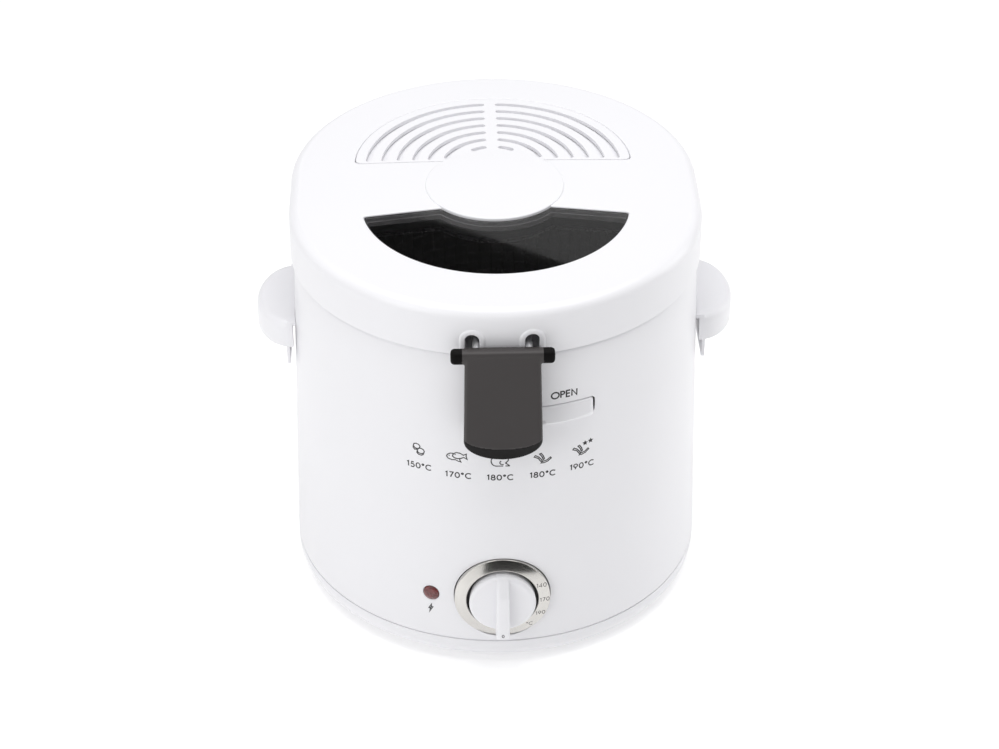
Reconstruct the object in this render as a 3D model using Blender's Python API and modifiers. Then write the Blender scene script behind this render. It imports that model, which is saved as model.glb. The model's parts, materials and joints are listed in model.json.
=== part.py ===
"""Compact deep fryer: oval housing, hinged lid, lift-out basket with a folding grip.

Metres, +Z up, front towards -Y. The fryer stands on the plane Z = 0, and the
vertical axis of the oil pot is the Z axis.
"""
import math

import bmesh
import bpy
from mathutils import Matrix, Vector

MM = 0.001
GAP = 0.3 * MM                      # clearance between neighbouring pieces

# ---- driving dimensions -------------------------------------------------
HALF_STRAIGHT = 15.7 * MM           # half of the oval plan's straight side, along Y
WALL_RADIUS_FLOOR = 108.75 * MM     # the tapered wall's end radius, carried down to Z = 0
WALL_RADIUS_TOP = 103.3 * MM
HOUSING_TOP = 189.8 * MM
HOUSING_BOTTOM = 16.0 * MM
WALL = 2.4 * MM
HALF_DEPTH = 138.0 * MM             # from the Z axis to the grip's nose and to the hinge barrel

LID_RADIUS = 105.0 * MM
LID_BOTTOM = 190.5 * MM
LID_SHOULDER = 210.5 * MM
LID_TOP = 217.2 * MM
DISC_RADIUS = 35.6 * MM             # raised disc in the middle of the lid
DISC_CENTRE_Y = -2.6 * MM
VENT_RADIUS = 72.2 * MM
VENT_CENTRE_Y = 20.2 * MM           # centre of the vent's arc and of its slots
VENT_CHORD_Y = 22.4 * MM
SLOT_FIRST = 17.0 * MM
SLOT_PITCH = 8.0 * MM
SLOT_WIDTH = 3.0 * MM
SLOT_COUNT = 7
WINDOW_RADIUS = 68.0 * MM
WINDOW_CENTRE_Y = -19.2 * MM
WINDOW_TIP_Y = -31.2 * MM           # the window's rear edge slopes from its tips in to the disc
WINDOW_INNER_Y = -25.2 * MM
NOTCH_X = 14.4 * MM                 # notches in the lid's skirt that the basket wires pass
NOTCH_HALF_WIDTH = 3.45 * MM
NOTCH_ARC_Z = 198.9 * MM
LINER_RADIUS = 93.0 * MM
LINER_SCREWS = [(side * 81 * MM, 0.0) for side in (-1, 1)]

HINGE_BARREL = 6.5 * MM
HINGE_Y = HALF_DEPTH - HINGE_BARREL
HINGE_Z = 184.0 * MM
PIN_RADIUS = 2.8 * MM
PIN_BORE = 3.2 * MM

NECK_RADIUS = 91.5 * MM             # hole in the housing that the pot hangs in
POT_RADIUS_TOP = 88.2 * MM
POT_RADIUS_BOTTOM = 83.0 * MM
POT_BOTTOM = 62.0 * MM
POT_WALL = 1.3 * MM
LIP_RADIUS = 95.5 * MM
LIP_UNDERSIDE = 190.1 * MM

BASKET_RADIUS = 77.5 * MM
BASKET_RADIUS_BOTTOM = 73.0 * MM
BASKET_BOTTOM = 68.0 * MM
BASKET_TOP = 175.8 * MM
WIRE_RADIUS = 1.6 * MM
ARM_X = 12.8 * MM                   # the two basket wires leave at this distance from the middle
GRIP_AXIS_Y = -125.5 * MM
GRIP_AXIS_Z = 194.2 * MM

DIAL_Z = 43.7 * MM
DIAL_FACE_Y = -125.2 * MM
DIAL_RADIUS = 24.5 * MM
DIAL_FALL = 1.8 * MM                # the dial ring's face falls back this much towards its rim
KNOB_RADIUS = 17.5 * MM

LAMP_X = -36.3 * MM
LAMP_Z = 42.9 * MM
GLAND_Z = 27.0 * MM

HANDLE_SCREW_Y = (-11.0 * MM, 11.0 * MM)
HANDLE_SCREW_Z = 144.5 * MM
BRACKET_SCREW_X = 17.0 * MM
BRACKET_SCREW_Z = 169.0 * MM
ARM_SCREW_X = 16.0 * MM
ARM_SCREW_Z = 199.0 * MM
BOSS_BORE = 1.7 * MM                # radius of every screw hole

BUTTON_X = (15.5 * MM, 44.8 * MM)
BUTTON_Z = (149.6 * MM, 158.4 * MM)
LATCH_X = 29.0 * MM
LATCH_PIVOT_Y = -105.1 * MM
LATCH_PIVOT_Z = 168.0 * MM

RING_COUNT = 40
SMALL_COUNT = 24
HOLE_COUNT = 10


# ---- scene --------------------------------------------------------------
for old in list(bpy.data.objects):
    bpy.data.objects.remove(old, do_unlink=True)

parts = bpy.data.collections.new("deep_fryer")
cutters = bpy.data.collections.new("cutters")
bpy.context.scene.collection.children.link(parts)
bpy.context.scene.collection.children.link(cutters)


def make_material(name, color, roughness, metallic=0.0, alpha=1.0):
    """A Principled material in one plain colour."""
    mat = bpy.data.materials.new(name)
    mat.use_nodes = True
    shader = mat.node_tree.nodes["Principled BSDF"]
    shader.inputs["Base Color"].default_value = (*color, 1.0)
    shader.inputs["Roughness"].default_value = roughness
    shader.inputs["Metallic"].default_value = metallic
    shader.inputs["Alpha"].default_value = alpha
    mat.diffuse_color = (*color, alpha)
    return mat


WHITE = make_material("white_plastic", (0.86, 0.86, 0.88), 0.28)
BLACK = make_material("black_plastic", (0.045, 0.04, 0.04), 0.5)
CHROME = make_material("chrome", (0.75, 0.75, 0.76), 0.12, 1.0)
STEEL = make_material("steel", (0.6, 0.6, 0.6), 0.3, 1.0)
ALUMINIUM = make_material("aluminium", (0.65, 0.65, 0.66), 0.4, 1.0)
NONSTICK = make_material("nonstick", (0.06, 0.06, 0.065), 0.35)
RUBBER = make_material("rubber", (0.05, 0.05, 0.05), 0.8)
SILICONE = make_material("silicone", (0.55, 0.55, 0.53), 0.6)
GLAZING = make_material("tinted_glazing", (0.05, 0.05, 0.055), 0.08, 0.0, 0.6)
LAMP_RED = make_material("lamp_red", (0.25, 0.02, 0.02), 0.2, 0.0, 0.9)
FILTER = make_material("filter_foam", (0.08, 0.08, 0.08), 0.95)
CERAMIC = make_material("terminal_plastic", (0.7, 0.68, 0.6), 0.5)
BRASS = make_material("brass", (0.7, 0.5, 0.2), 0.35, 1.0)
WIRE_BROWN = make_material("wire_brown", (0.2, 0.08, 0.03), 0.5)


# ---- modelling helpers --------------------------------------------------
def smooth(mesh, angle=30.0):
    """Smooth shading with edges sharper than the angle kept crisp."""
    mesh.shade_smooth()
    mesh.set_sharp_from_angle(angle=math.radians(angle))


def add_part(name, mesh, material, location=(0.0, 0.0, 0.0)):
    """Put a finished mesh in the object's collection."""
    obj = bpy.data.objects.new(name, mesh)
    obj.location = location
    mesh.materials.clear()
    mesh.materials.append(material)
    smooth(mesh)
    parts.objects.link(obj)
    return obj


def to_cutter(obj):
    """Move an object to the hidden guides."""
    for owner in list(obj.users_collection):
        owner.objects.unlink(obj)
    cutters.objects.link(obj)
    obj.hide_render = True
    obj.display_type = "WIRE"
    return obj


def mesh_from(work, name):
    """Turn a bmesh into a mesh and free it."""
    mesh = bpy.data.meshes.new(name)
    work.to_mesh(mesh)
    work.free()
    return mesh


def ring(radius, z, half_straight=0.0, count=RING_COUNT):
    """Points round a circle, or round an oval when half_straight is not zero."""
    points = []
    for index in range(count):
        angle = 2.0 * math.pi * (index + 0.5) / count
        y = radius * math.sin(angle)
        points.append(Vector((radius * math.cos(angle), y + math.copysign(half_straight, y), z)))
    return points


def loft(name, rings, material, cap_first=False, cap_last=False, closed=True):
    """Skin a list of equal rings; rings that rise run anticlockwise seen from above."""
    work = bmesh.new()
    rows = [[work.verts.new(point) for point in points] for points in rings]
    last = len(rings[0]) if closed else len(rings[0]) - 1
    for low, high in zip(rows, rows[1:]):
        for index in range(last):
            follow = (index + 1) % len(low)
            work.faces.new((low[index], low[follow], high[follow], high[index]))
    if cap_first:
        work.faces.new(list(reversed(rows[0])))
    if cap_last:
        work.faces.new(rows[-1])
    return add_part(name, mesh_from(work, name), material)


def thicken(obj, thickness):
    """Grow an open skin inwards into a wall."""
    shell = obj.modifiers.new("wall", "SOLIDIFY")
    shell.thickness = thickness
    shell.offset = -1.0
    shell.use_even_offset = True
    return obj


def round_edges(obj, width, segments=2, angle=40.0):
    """Bevel the edges sharper than the angle."""
    bevel = obj.modifiers.new("rounding", "BEVEL")
    bevel.width = width
    bevel.segments = segments
    bevel.limit_method = "ANGLE"
    bevel.angle_limit = math.radians(angle)
    return obj


def combine(obj, other, operation):
    """Boolean with the exact solver; the other object becomes a hidden guide."""
    modifier = obj.modifiers.new(operation.lower(), "BOOLEAN")
    modifier.operation = operation
    modifier.object = to_cutter(other)
    return obj


def cut(obj, *others):
    for other in others:
        combine(obj, other, "DIFFERENCE")
    return obj


def join(obj, *others):
    for other in others:
        combine(obj, other, "UNION")
    return obj


def block(name, low, high, material=WHITE):
    """A box between two corners, its origin in its middle."""
    work = bmesh.new()
    bmesh.ops.create_cube(work, size=1.0)
    size = Vector(high) - Vector(low)
    bmesh.ops.scale(work, vec=size, verts=work.verts)
    return add_part(name, mesh_from(work, name), material, (Vector(low) + Vector(high)) / 2)


def rod(name, radius, start, end, material=STEEL, count=16, tip_radius=None):
    """A cylinder or cone between two points, its origin at the start."""
    start, end = Vector(start), Vector(end)
    length = (end - start).length
    work = bmesh.new()
    bmesh.ops.create_cone(work, cap_ends=True, segments=count, radius1=radius,
                          radius2=radius if tip_radius is None else tip_radius, depth=length)
    bmesh.ops.translate(work, vec=(0.0, 0.0, length / 2), verts=work.verts)
    turn = Vector((0.0, 0.0, 1.0)).rotation_difference(end - start).to_matrix().to_4x4()
    bmesh.ops.transform(work, matrix=turn, verts=work.verts)
    return add_part(name, mesh_from(work, name), material, start)


def turned(name, profile, material, axis=(0.0, 0.0, 1.0), location=(0.0, 0.0, 0.0),
           closed=False, steps=SMALL_COUNT):
    """Turn a profile of (radius, height) about an axis; it runs down its outer side."""
    work = bmesh.new()
    verts = [work.verts.new((radius, 0.0, height)) for radius, height in profile]
    for first, second in zip(verts, verts[1:]):
        work.edges.new((first, second))
    if closed:
        work.edges.new((verts[-1], verts[0]))
    obj = add_part(name, mesh_from(work, name), material, location)
    obj.rotation_mode = "QUATERNION"
    obj.rotation_quaternion = Vector((0.0, 0.0, 1.0)).rotation_difference(Vector(axis))
    screw = obj.modifiers.new("turning", "SCREW")
    screw.steps = steps
    screw.render_steps = steps
    screw.use_merge_vertices = True
    screw.merge_threshold = 0.01 * MM
    screw.use_smooth_shade = True
    return obj


def wire(name, points, radius, material=STEEL, resolution=1):
    """A round bar along a polyline, converted to a closed mesh."""
    curve = bpy.data.curves.new(name + "_path", "CURVE")
    curve.dimensions = "3D"
    curve.bevel_depth = radius
    curve.bevel_resolution = resolution
    curve.use_fill_caps = True
    spline = curve.splines.new("POLY")
    spline.points.add(len(points) - 1)
    for slot, point in zip(spline.points, points):
        slot.co = (*point, 1.0)
    path = bpy.data.objects.new(name + "_path", curve)
    bpy.context.scene.collection.objects.link(path)
    graph = bpy.context.evaluated_depsgraph_get()
    mesh = bpy.data.meshes.new_from_object(path.evaluated_get(graph))
    mesh.name = name
    work = bmesh.new()
    work.from_mesh(mesh)
    bmesh.ops.remove_doubles(work, verts=work.verts, dist=0.001 * MM)
    bmesh.ops.recalc_face_normals(work, faces=work.faces)
    work.to_mesh(mesh)
    work.free()
    bpy.data.objects.remove(path, do_unlink=True)
    return add_part(name, mesh, material)


def bend(points, radius, steps=4):
    """Round the corners of a polyline with short arcs."""
    points = [Vector(point) for point in points]
    route = [points[0]]
    for before, corner, after in zip(points, points[1:], points[2:]):
        reach = min(radius, (before - corner).length / 2, (after - corner).length / 2)
        enter = corner + (before - corner).normalized() * reach
        leave = corner + (after - corner).normalized() * reach
        for step in range(steps + 1):
            t = step / steps
            route.append(enter * (1 - t) ** 2 + corner * 2 * t * (1 - t) + leave * t ** 2)
    route.append(points[-1])
    return route


def prism(name, outline, low, high):
    """A vertical block over a plan outline of (x, y) points, anticlockwise."""
    rings = [[Vector((x, y, z)) for x, y in outline] for z in (low, high)]
    return loft(name, rings, WHITE, cap_first=True, cap_last=True)


def arc(centre, radius, first, last, count):
    """Plan points along an arc, angles in degrees."""
    points = []
    for index in range(count + 1):
        angle = math.radians(first + (last - first) * index / count)
        points.append((centre[0] + radius * math.cos(angle), centre[1] + radius * math.sin(angle)))
    return points


def wall_radius(z):
    """End radius of the tapered housing at a height."""
    return WALL_RADIUS_FLOOR + (WALL_RADIUS_TOP - WALL_RADIUS_FLOOR) * z / HOUSING_TOP


def wall_front(x, z, inset=0.0):
    """Y of the housing's front wall, outside face less the inset."""
    return -HALF_STRAIGHT - math.sqrt((wall_radius(z) - inset) ** 2 - x ** 2)


def wall_envelope(name, clearance):
    """A solid of the housing's outer shape grown by a clearance, to trim pieces that sit on it."""
    rings = [ring(wall_radius(z) + clearance, z, HALF_STRAIGHT) for z in (-5 * MM, 195 * MM)]
    return loft(name, rings, WHITE, cap_first=True, cap_last=True)


# ---- housing ------------------------------------------------------------
def build_housing():
    """Outer wall, top flange and the neck that the pot hangs in, as one moulding."""
    crown = [(0.0, 2.4), (0.8, 0.6), (2.6, 0.0)]     # inset and drop round the top edge
    rings = [ring(wall_radius(HOUSING_BOTTOM), HOUSING_BOTTOM, HALF_STRAIGHT)]
    for inset, drop in crown:
        z = HOUSING_TOP - drop * MM
        rings.append(ring(wall_radius(z) - inset * MM, z, HALF_STRAIGHT))
    rings.append(ring(NECK_RADIUS, HOUSING_TOP))
    rings.append(ring(NECK_RADIUS, HOUSING_TOP - 6.0 * MM))
    housing = thicken(loft("outer_housing", rings, WHITE), WALL)

    for index, (angle, screw_xy) in enumerate(screw_places()):
        rib = block(f"rib_{index}", (-8 * MM, -4.5 * MM, 0.0), (8.5 * MM, 4.5 * MM, 22 * MM))
        rib.location = (*screw_xy, HOUSING_BOTTOM + 11.3 * MM)
        rib.rotation_euler = (0.0, 0.0, angle)
        rib.location.x += 3.5 * MM * math.cos(angle)
        rib.location.y += 3.5 * MM * math.sin(angle)
        join(housing, trimmed_rib(rib, index))
        cut(housing, rod(f"rib_bore_{index}", 1.7 * MM, (*screw_xy, 0.0), (*screw_xy, 30 * MM)))

    cut(housing, rod("dial_opening", DIAL_RADIUS + GAP, (0.0, -135 * MM, DIAL_Z),
                     (0.0, -100 * MM, DIAL_Z), count=32))
    cut(housing, rod("lamp_opening", 4.6 * MM, lamp_point(-10 * MM), lamp_point(14 * MM), count=14))
    cut(housing, block("button_opening", (BUTTON_X[0] - 0.4 * MM, -130 * MM, BUTTON_Z[0] - 0.4 * MM),
                       (BUTTON_X[1] + 0.4 * MM, -95 * MM, BUTTON_Z[1] + 0.4 * MM)))
    cut(housing, block("keeper_slot", (LATCH_X - 6 * MM, -106 * MM, 180 * MM),
                       (LATCH_X + 6 * MM, -96.5 * MM, 200 * MM)))
    cut(housing, rod("gland_opening", 6.4 * MM, (0.0, 100 * MM, GLAND_Z), (0.0, 140 * MM, GLAND_Z), count=16))
    for side in (-1, 1):
        for y in HANDLE_SCREW_Y:
            cut(housing, rod(f"handle_bore_{side}_{y:.3f}", 1.8 * MM, (side * 90 * MM, y, HANDLE_SCREW_Z),
                             (side * 112 * MM, y, HANDLE_SCREW_Z)))
    for side in (-1, 1):
        cut(housing, rod(f"bracket_bore_{side}", 1.8 * MM, (side * BRACKET_SCREW_X, 95 * MM, BRACKET_SCREW_Z),
                         (side * BRACKET_SCREW_X, 125 * MM, BRACKET_SCREW_Z)))
    return housing


def screw_places():
    """Angle and plan position of each screw that holds the base cover."""
    places = []
    for degrees in (35.0, 145.0, 215.0, 325.0):
        angle = math.radians(degrees)
        y = 94.5 * MM * math.sin(angle)
        places.append((angle, (94.5 * MM * math.cos(angle), y + math.copysign(HALF_STRAIGHT, y))))
    return places


def trimmed_rib(rib, index):
    """Keep the rib inside the housing's wall."""
    rings = [ring(wall_radius(z) - 0.8 * MM, z, HALF_STRAIGHT) for z in (0.0, 60 * MM)]
    limit = loft(f"rib_limit_{index}", rings, WHITE, cap_first=True, cap_last=True)
    return combine(rib, limit, "INTERSECT")


def lamp_point(depth):
    """A point on the lamp's axis, this far inside the housing's outer face."""
    y = wall_front(LAMP_X, LAMP_Z)
    outward = Vector((LAMP_X, y + HALF_STRAIGHT, 0.0)).normalized()
    return Vector((LAMP_X, y, LAMP_Z)) - outward * depth


def screw_part(name, start, direction, shank, head_radius=3.0 * MM, shank_radius=1.4 * MM, material=STEEL):
    """A pan-head screw whose head rests at start, with its shank along direction."""
    head = 2.0 * MM
    profile = [(0.0, shank), (shank_radius, shank), (shank_radius, 0.0), (head_radius, 0.0),
               (head_radius * 0.7, -head), (0.0, -head)]
    return turned(name, profile, material, direction, start, steps=8)


def build_base():
    """Tray that closes the underside, with its vents, feet and screws."""
    profile = [(98.0, 3.0), (104.4, 3.9), (107.4, 7.4), (108.3, 11.0), (108.28, 15.2)]
    rings = [ring(radius * MM, z * MM, HALF_STRAIGHT) for radius, z in profile]
    tray = thicken(loft("base_cover", rings, WHITE, cap_first=True), 2.0 * MM)
    for index in range(-2, 3):
        x = index * 14 * MM
        cut(tray, block(f"base_vent_{index}", (x - 1.8 * MM, -22 * MM, 0.0), (x + 1.8 * MM, 22 * MM, 8 * MM)))
    for index, (angle, (x, y)) in enumerate(screw_places()):
        cut(tray, rod(f"base_bore_{index}", 1.8 * MM, (x, y, 0.0), (x, y, 8 * MM)))
        screw_part(f"base_screw_{index + 1}", (x, y, 2.7 * MM), (0.0, 0.0, 1.0), 18 * MM)
    foot_profile = [(0.0, 2.7), (9.5, 2.7), (9.5, 0.6), (8.9, 0.0), (0.0, 0.0)]
    foot_profile = [(radius * MM, z * MM) for radius, z in foot_profile]
    for front, y in (("front", -78 * MM), ("rear", 78 * MM)):
        for side, x in (("left", -54 * MM), ("right", 54 * MM)):
            turned(f"foot_{front}_{side}", foot_profile, RUBBER, location=(x, y, 0.0), steps=20)


def build_side_handle(label, side):
    """Half-round carrying shelf with a turned-down rim and a plate that stands off the wall."""
    reach, half_width, root = 19.6 * MM, 30.0 * MM, 105.4 * MM
    top, bottom, plate_bottom = 152.4 * MM, 137.8 * MM, 126.0 * MM
    rings = []
    for inset, z in ((0.0, bottom), (0.0, top - 4.5 * MM), (1.6 * MM, top - 1.0 * MM), (5.4 * MM, top)):
        level = []
        for step in range(13):
            angle = math.radians(-90 + 15 * step)
            x = root + (reach - inset) * math.cos(angle)
            level.append(Vector((x, (half_width - inset) * math.sin(angle), z)))
        rings.append(level)
    shelf = thicken(loft(f"side_handle_{label}", rings, WHITE, cap_last=True, closed=False), 2.0 * MM)
    plate_low = (107.4 * MM, -half_width + 0.6 * MM, plate_bottom)
    plate = block(f"plate_{label}", plate_low, (108.9 * MM, half_width - 0.6 * MM, top - 1.0 * MM))
    join(shelf, plate)
    apron = block(f"apron_{label}", (102 * MM, -half_width + 1.2 * MM, top - 2.2 * MM),
                  (108 * MM, half_width - 1.2 * MM, top - 0.2 * MM))
    join(shelf, apron)
    for index, y in enumerate(HANDLE_SCREW_Y):
        join(shelf, rod(f"boss_{label}_{index}", 4.2 * MM, (103 * MM, y, HANDLE_SCREW_Z),
                        (108 * MM, y, HANDLE_SCREW_Z), count=HOLE_COUNT))
        cut(shelf, rod(f"boss_bore_{label}_{index}", BOSS_BORE, (100 * MM, y, HANDLE_SCREW_Z),
                       (107.9 * MM, y, HANDLE_SCREW_Z), count=HOLE_COUNT))
        screw_part(f"handle_screw_{label}_{index + 1}",
                   (side * (wall_radius(HANDLE_SCREW_Z) - WALL - 3 * GAP), y, HANDLE_SCREW_Z),
                   (side, 0.0, 0.0), 5.4 * MM)
    cut(shelf, wall_envelope(f"handle_trim_{label}", GAP))
    if side < 0:
        mirror_side(shelf)
    return shelf


def mirror_side(obj):
    """Turn a right-hand piece built of modifiers into the left-hand one."""
    obj.rotation_euler = (0.0, 0.0, math.pi)
    for modifier in obj.modifiers:
        if modifier.type == "BOOLEAN":
            guide = modifier.object
            guide.matrix_world = Matrix.Rotation(math.pi, 4, "Z") @ guide.matrix_basis


# ---- heating and controls ----------------------------------------------
def build_pot():
    """Drawn oil pot whose lip rests on the housing's flange."""
    profile = [(POT_RADIUS_BOTTOM - 9 * MM, POT_BOTTOM), (POT_RADIUS_BOTTOM - 3 * MM, POT_BOTTOM + 2.4 * MM),
               (POT_RADIUS_BOTTOM, POT_BOTTOM + 9 * MM), (POT_RADIUS_TOP, 184 * MM),
               (POT_RADIUS_TOP + 1.6 * MM, LIP_UNDERSIDE),
               (LIP_RADIUS, LIP_UNDERSIDE)]
    pot = loft("oil_pot", [ring(radius, z) for radius, z in profile], NONSTICK, cap_first=True)
    thicken(pot, POT_WALL)
    rod("pot_stud", 2.5 * MM, (0.0, 0.0, POT_BOTTOM - GAP), (0.0, 0.0, 36 * MM), STEEL)
    nut = rod("stud_nut", 5.0 * MM, (0.0, 0.0, 43.5 * MM), (0.0, 0.0, 39.5 * MM), STEEL, count=6)
    cut(nut, rod("nut_bore", 2.8 * MM, (0.0, 0.0, 50 * MM), (0.0, 0.0, 30 * MM)))
    return pot


def build_heater():
    """Tubular ring element under the pot, its heat shield and its safety parts."""
    element_z, element_radius = 57.3 * MM, 60.0 * MM
    points = []
    for index in range(25):
        angle = math.radians(90 + 12 + (360 - 24) * index / 24)
        points.append((element_radius * math.cos(angle), element_radius * math.sin(angle), element_z))
    first, last = Vector(points[0]), Vector(points[-1])
    tail = Vector((0.0, 32 * MM, 0.0))
    route = [first + tail] + points + [last + tail]
    wire("heating_element", bend_ends(route), 3.2 * MM, STEEL)

    profile = [(70, 44.0), (80, 45.6), (85, 51.5)]
    shield = loft("heat_shield", [ring(radius * MM, z * MM, count=32) for radius, z in profile], ALUMINIUM,
                  cap_first=True)
    thicken(shield, 0.8 * MM)
    cut(shield, rod("shield_bore", 3.0 * MM, (0.0, 0.0, 30 * MM), (0.0, 0.0, 60 * MM)))

    rod("thermal_fuse", 2.6 * MM, (-9 * MM, 32 * MM, 58 * MM), (9 * MM, 32 * MM, 58 * MM),
        ALUMINIUM, count=14)
    rod("thermostat_bulb", 2.4 * MM, (-24 * MM, -30 * MM, 58 * MM), (24 * MM, -30 * MM, 58 * MM),
        BRASS, count=14)
    capillary = [(25.0 * MM, -30 * MM, 58 * MM), (29 * MM, -34 * MM, 54 * MM), (26 * MM, -46 * MM, 49.5 * MM),
                 (16 * MM, -66 * MM, 49.5 * MM), (10 * MM, -80 * MM, 54 * MM), (6 * MM, -88 * MM, 52 * MM),
                 (3 * MM, -92 * MM, 44 * MM), (2 * MM, -96.4 * MM, 44 * MM)]
    wire("capillary_tube", bend(capillary, 4 * MM, 3), 0.8 * MM, BRASS)


def bend_ends(route):
    """Ease the corners where the element's tails leave its ring."""
    head = bend(route[:3], 6 * MM)
    foot = bend(route[-3:], 6 * MM)
    return head[:-1] + [Vector(point) for point in route[2:-2]] + foot[1:]


def build_dial():
    """Chrome dial plate, thermostat behind it and the knob on its shaft."""
    back = -117.0 * MM
    depth = back - DIAL_FACE_Y
    # heights run from the back face at 0 to the front face at depth
    inner = KNOB_RADIUS + 0.7 * MM
    profile = [(inner, depth), (DIAL_RADIUS - 0.6 * MM, depth - DIAL_FALL),
               (DIAL_RADIUS, depth - DIAL_FALL - 0.6 * MM), (DIAL_RADIUS, 0.0), (4.3 * MM, 0.0),
               (4.3 * MM, 2.0 * MM), (inner, 2.0 * MM)]
    turned("dial_bezel", profile, CHROME, (0.0, -1.0, 0.0), (0.0, back, DIAL_Z), closed=True, steps=40)

    body = turned("thermostat_body", [(0.0, 20.0 * MM), (14.0 * MM, 20.0 * MM), (14.0 * MM, 0.0), (0.0, 0.0)],
                  CERAMIC, (0.0, -1.0, 0.0), (0.0, -96.7 * MM, DIAL_Z), steps=20)
    cut(body, rod("thermostat_bore", 3.4 * MM, (0.0, -125 * MM, DIAL_Z), (0.0, -104 * MM, DIAL_Z)))
    rod("thermostat_shaft", 3.0 * MM, (0.0, -104.5 * MM, DIAL_Z), (0.0, -120.9 * MM, DIAL_Z), BRASS)

    knob_back, face = -121.3 * MM, -129.2 * MM
    height = knob_back - face
    profile = [(0.0, height), (KNOB_RADIUS - 1.6 * MM, height), (KNOB_RADIUS - 0.4 * MM, height - 0.6 * MM),
               (KNOB_RADIUS, height - 1.8 * MM), (KNOB_RADIUS, 0.0), (0.0, 0.0)]
    knob = turned("dial_knob", profile, WHITE, (0.0, -1.0, 0.0), (0.0, knob_back, DIAL_Z), steps=36)
    bar_rings = []
    for shrink, y in ((0.0, face + 2.0 * MM), (0.3 * MM, face - 5.0 * MM), (1.5 * MM, face - 6.4 * MM)):
        half_x, half_z = 4.2 * MM - shrink * 0.7, KNOB_RADIUS + 0.8 * MM - shrink
        corners = ((-half_x, -half_z), (half_x, -half_z), (half_x, half_z), (-half_x, half_z))
        bar_rings.append([Vector((x, y, DIAL_Z + z)) for x, z in corners])
    bar = loft("knob_bar", bar_rings, WHITE, cap_first=True, cap_last=True)
    join(knob, bar)


def build_lamp():
    """Pilot light: a red lens in the wall and its holder behind."""
    outward = -(lamp_point(1.0 * MM) - lamp_point(0.0)).normalized()
    lens = [(0.0, 6.4), (1.5, 6.2), (2.9, 5.7), (3.9, 4.8), (4.25, 3.6), (4.25, 0.0), (0.0, 0.0)]
    turned("lamp_lens", [(r * MM, z * MM) for r, z in lens], LAMP_RED, outward,
           lamp_point(5.0 * MM), steps=16)
    rod("lamp_holder", 3.8 * MM, lamp_point(5.3 * MM), lamp_point(22 * MM), CERAMIC, count=16)


def build_wiring():
    """Terminal block, cord gland and the leads between the electrical parts."""
    block_low = (-14 * MM, 80 * MM, 6 * MM)
    block_high = (14 * MM, 96 * MM, 20 * MM)
    round_edges(block("terminal_block", block_low, block_high, CERAMIC), 1.0 * MM, 1)
    outer = wall_radius(GLAND_Z) + HALF_STRAIGHT
    gland = [(3.6, 16.0), (8.0, 16.0), (9.2, 14.6), (9.2, 13.1), (6.0, 13.1), (6.0, 0.0), (3.6, 0.0)]
    turned("cord_gland", [(r * MM, z * MM) for r, z in gland], BLACK, (0.0, 1.0, 0.0),
           (0.0, outer - 12.7 * MM, GLAND_Z), closed=True, steps=24)
    lead_front = [(10 * MM, 84 * MM, 21.6 * MM), (30 * MM, 70 * MM, 30 * MM), (58 * MM, 10 * MM, 27 * MM),
                  (52 * MM, -60 * MM, 30 * MM), (20 * MM, -92 * MM, 36 * MM),
                  (15.8 * MM, -100 * MM, 43.7 * MM)]
    wire("lead_to_thermostat", bend(lead_front, 30 * MM, 3), 1.1 * MM, WIRE_BROWN)


# ---- lid latch ----------------------------------------------------------
def build_button():
    """Release button that bulges from the wall, widest near its lower edge."""
    back = -108.6 * MM
    low, high = BUTTON_Z
    rings = []
    for step in range(9):
        x = BUTTON_X[0] + (BUTTON_X[1] - BUTTON_X[0]) * step / 8
        edge = 1.0 if 0 < step < 8 else 0.55
        front = [(high, 0.2), (high - 1.2 * MM, 0.9), (high - 4.2 * MM, 2.4), (high - 6.4 * MM, 3.6),
                 (low + 1.0 * MM, 3.7), (low, 2.4)]
        section = [Vector((x, back, high))]
        for z, bulge in front:
            section.append(Vector((x, wall_front(x, z) - bulge * edge * MM, z)))
        section.append(Vector((x, back, low)))
        rings.append(section)
    button = loft("open_button", rings, WHITE, cap_first=True, cap_last=True)
    tongue = block("button_plunger", (LATCH_X - 2 * MM, back - 2 * MM, 153.2 * MM),
                   (LATCH_X + 2 * MM, -107.0 * MM, 154.8 * MM))
    join(button, tongue)


def coil_points(centre, radius, length, turns, per_turn=8):
    """Helix along +Y from its centre point."""
    points = []
    for index in range(int(turns * per_turn) + 1):
        angle = 2.0 * math.pi * index / per_turn
        travel = length * index / (turns * per_turn)
        points.append(centre + Vector((radius * math.cos(angle), travel, radius * math.sin(angle))))
    return points


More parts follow.
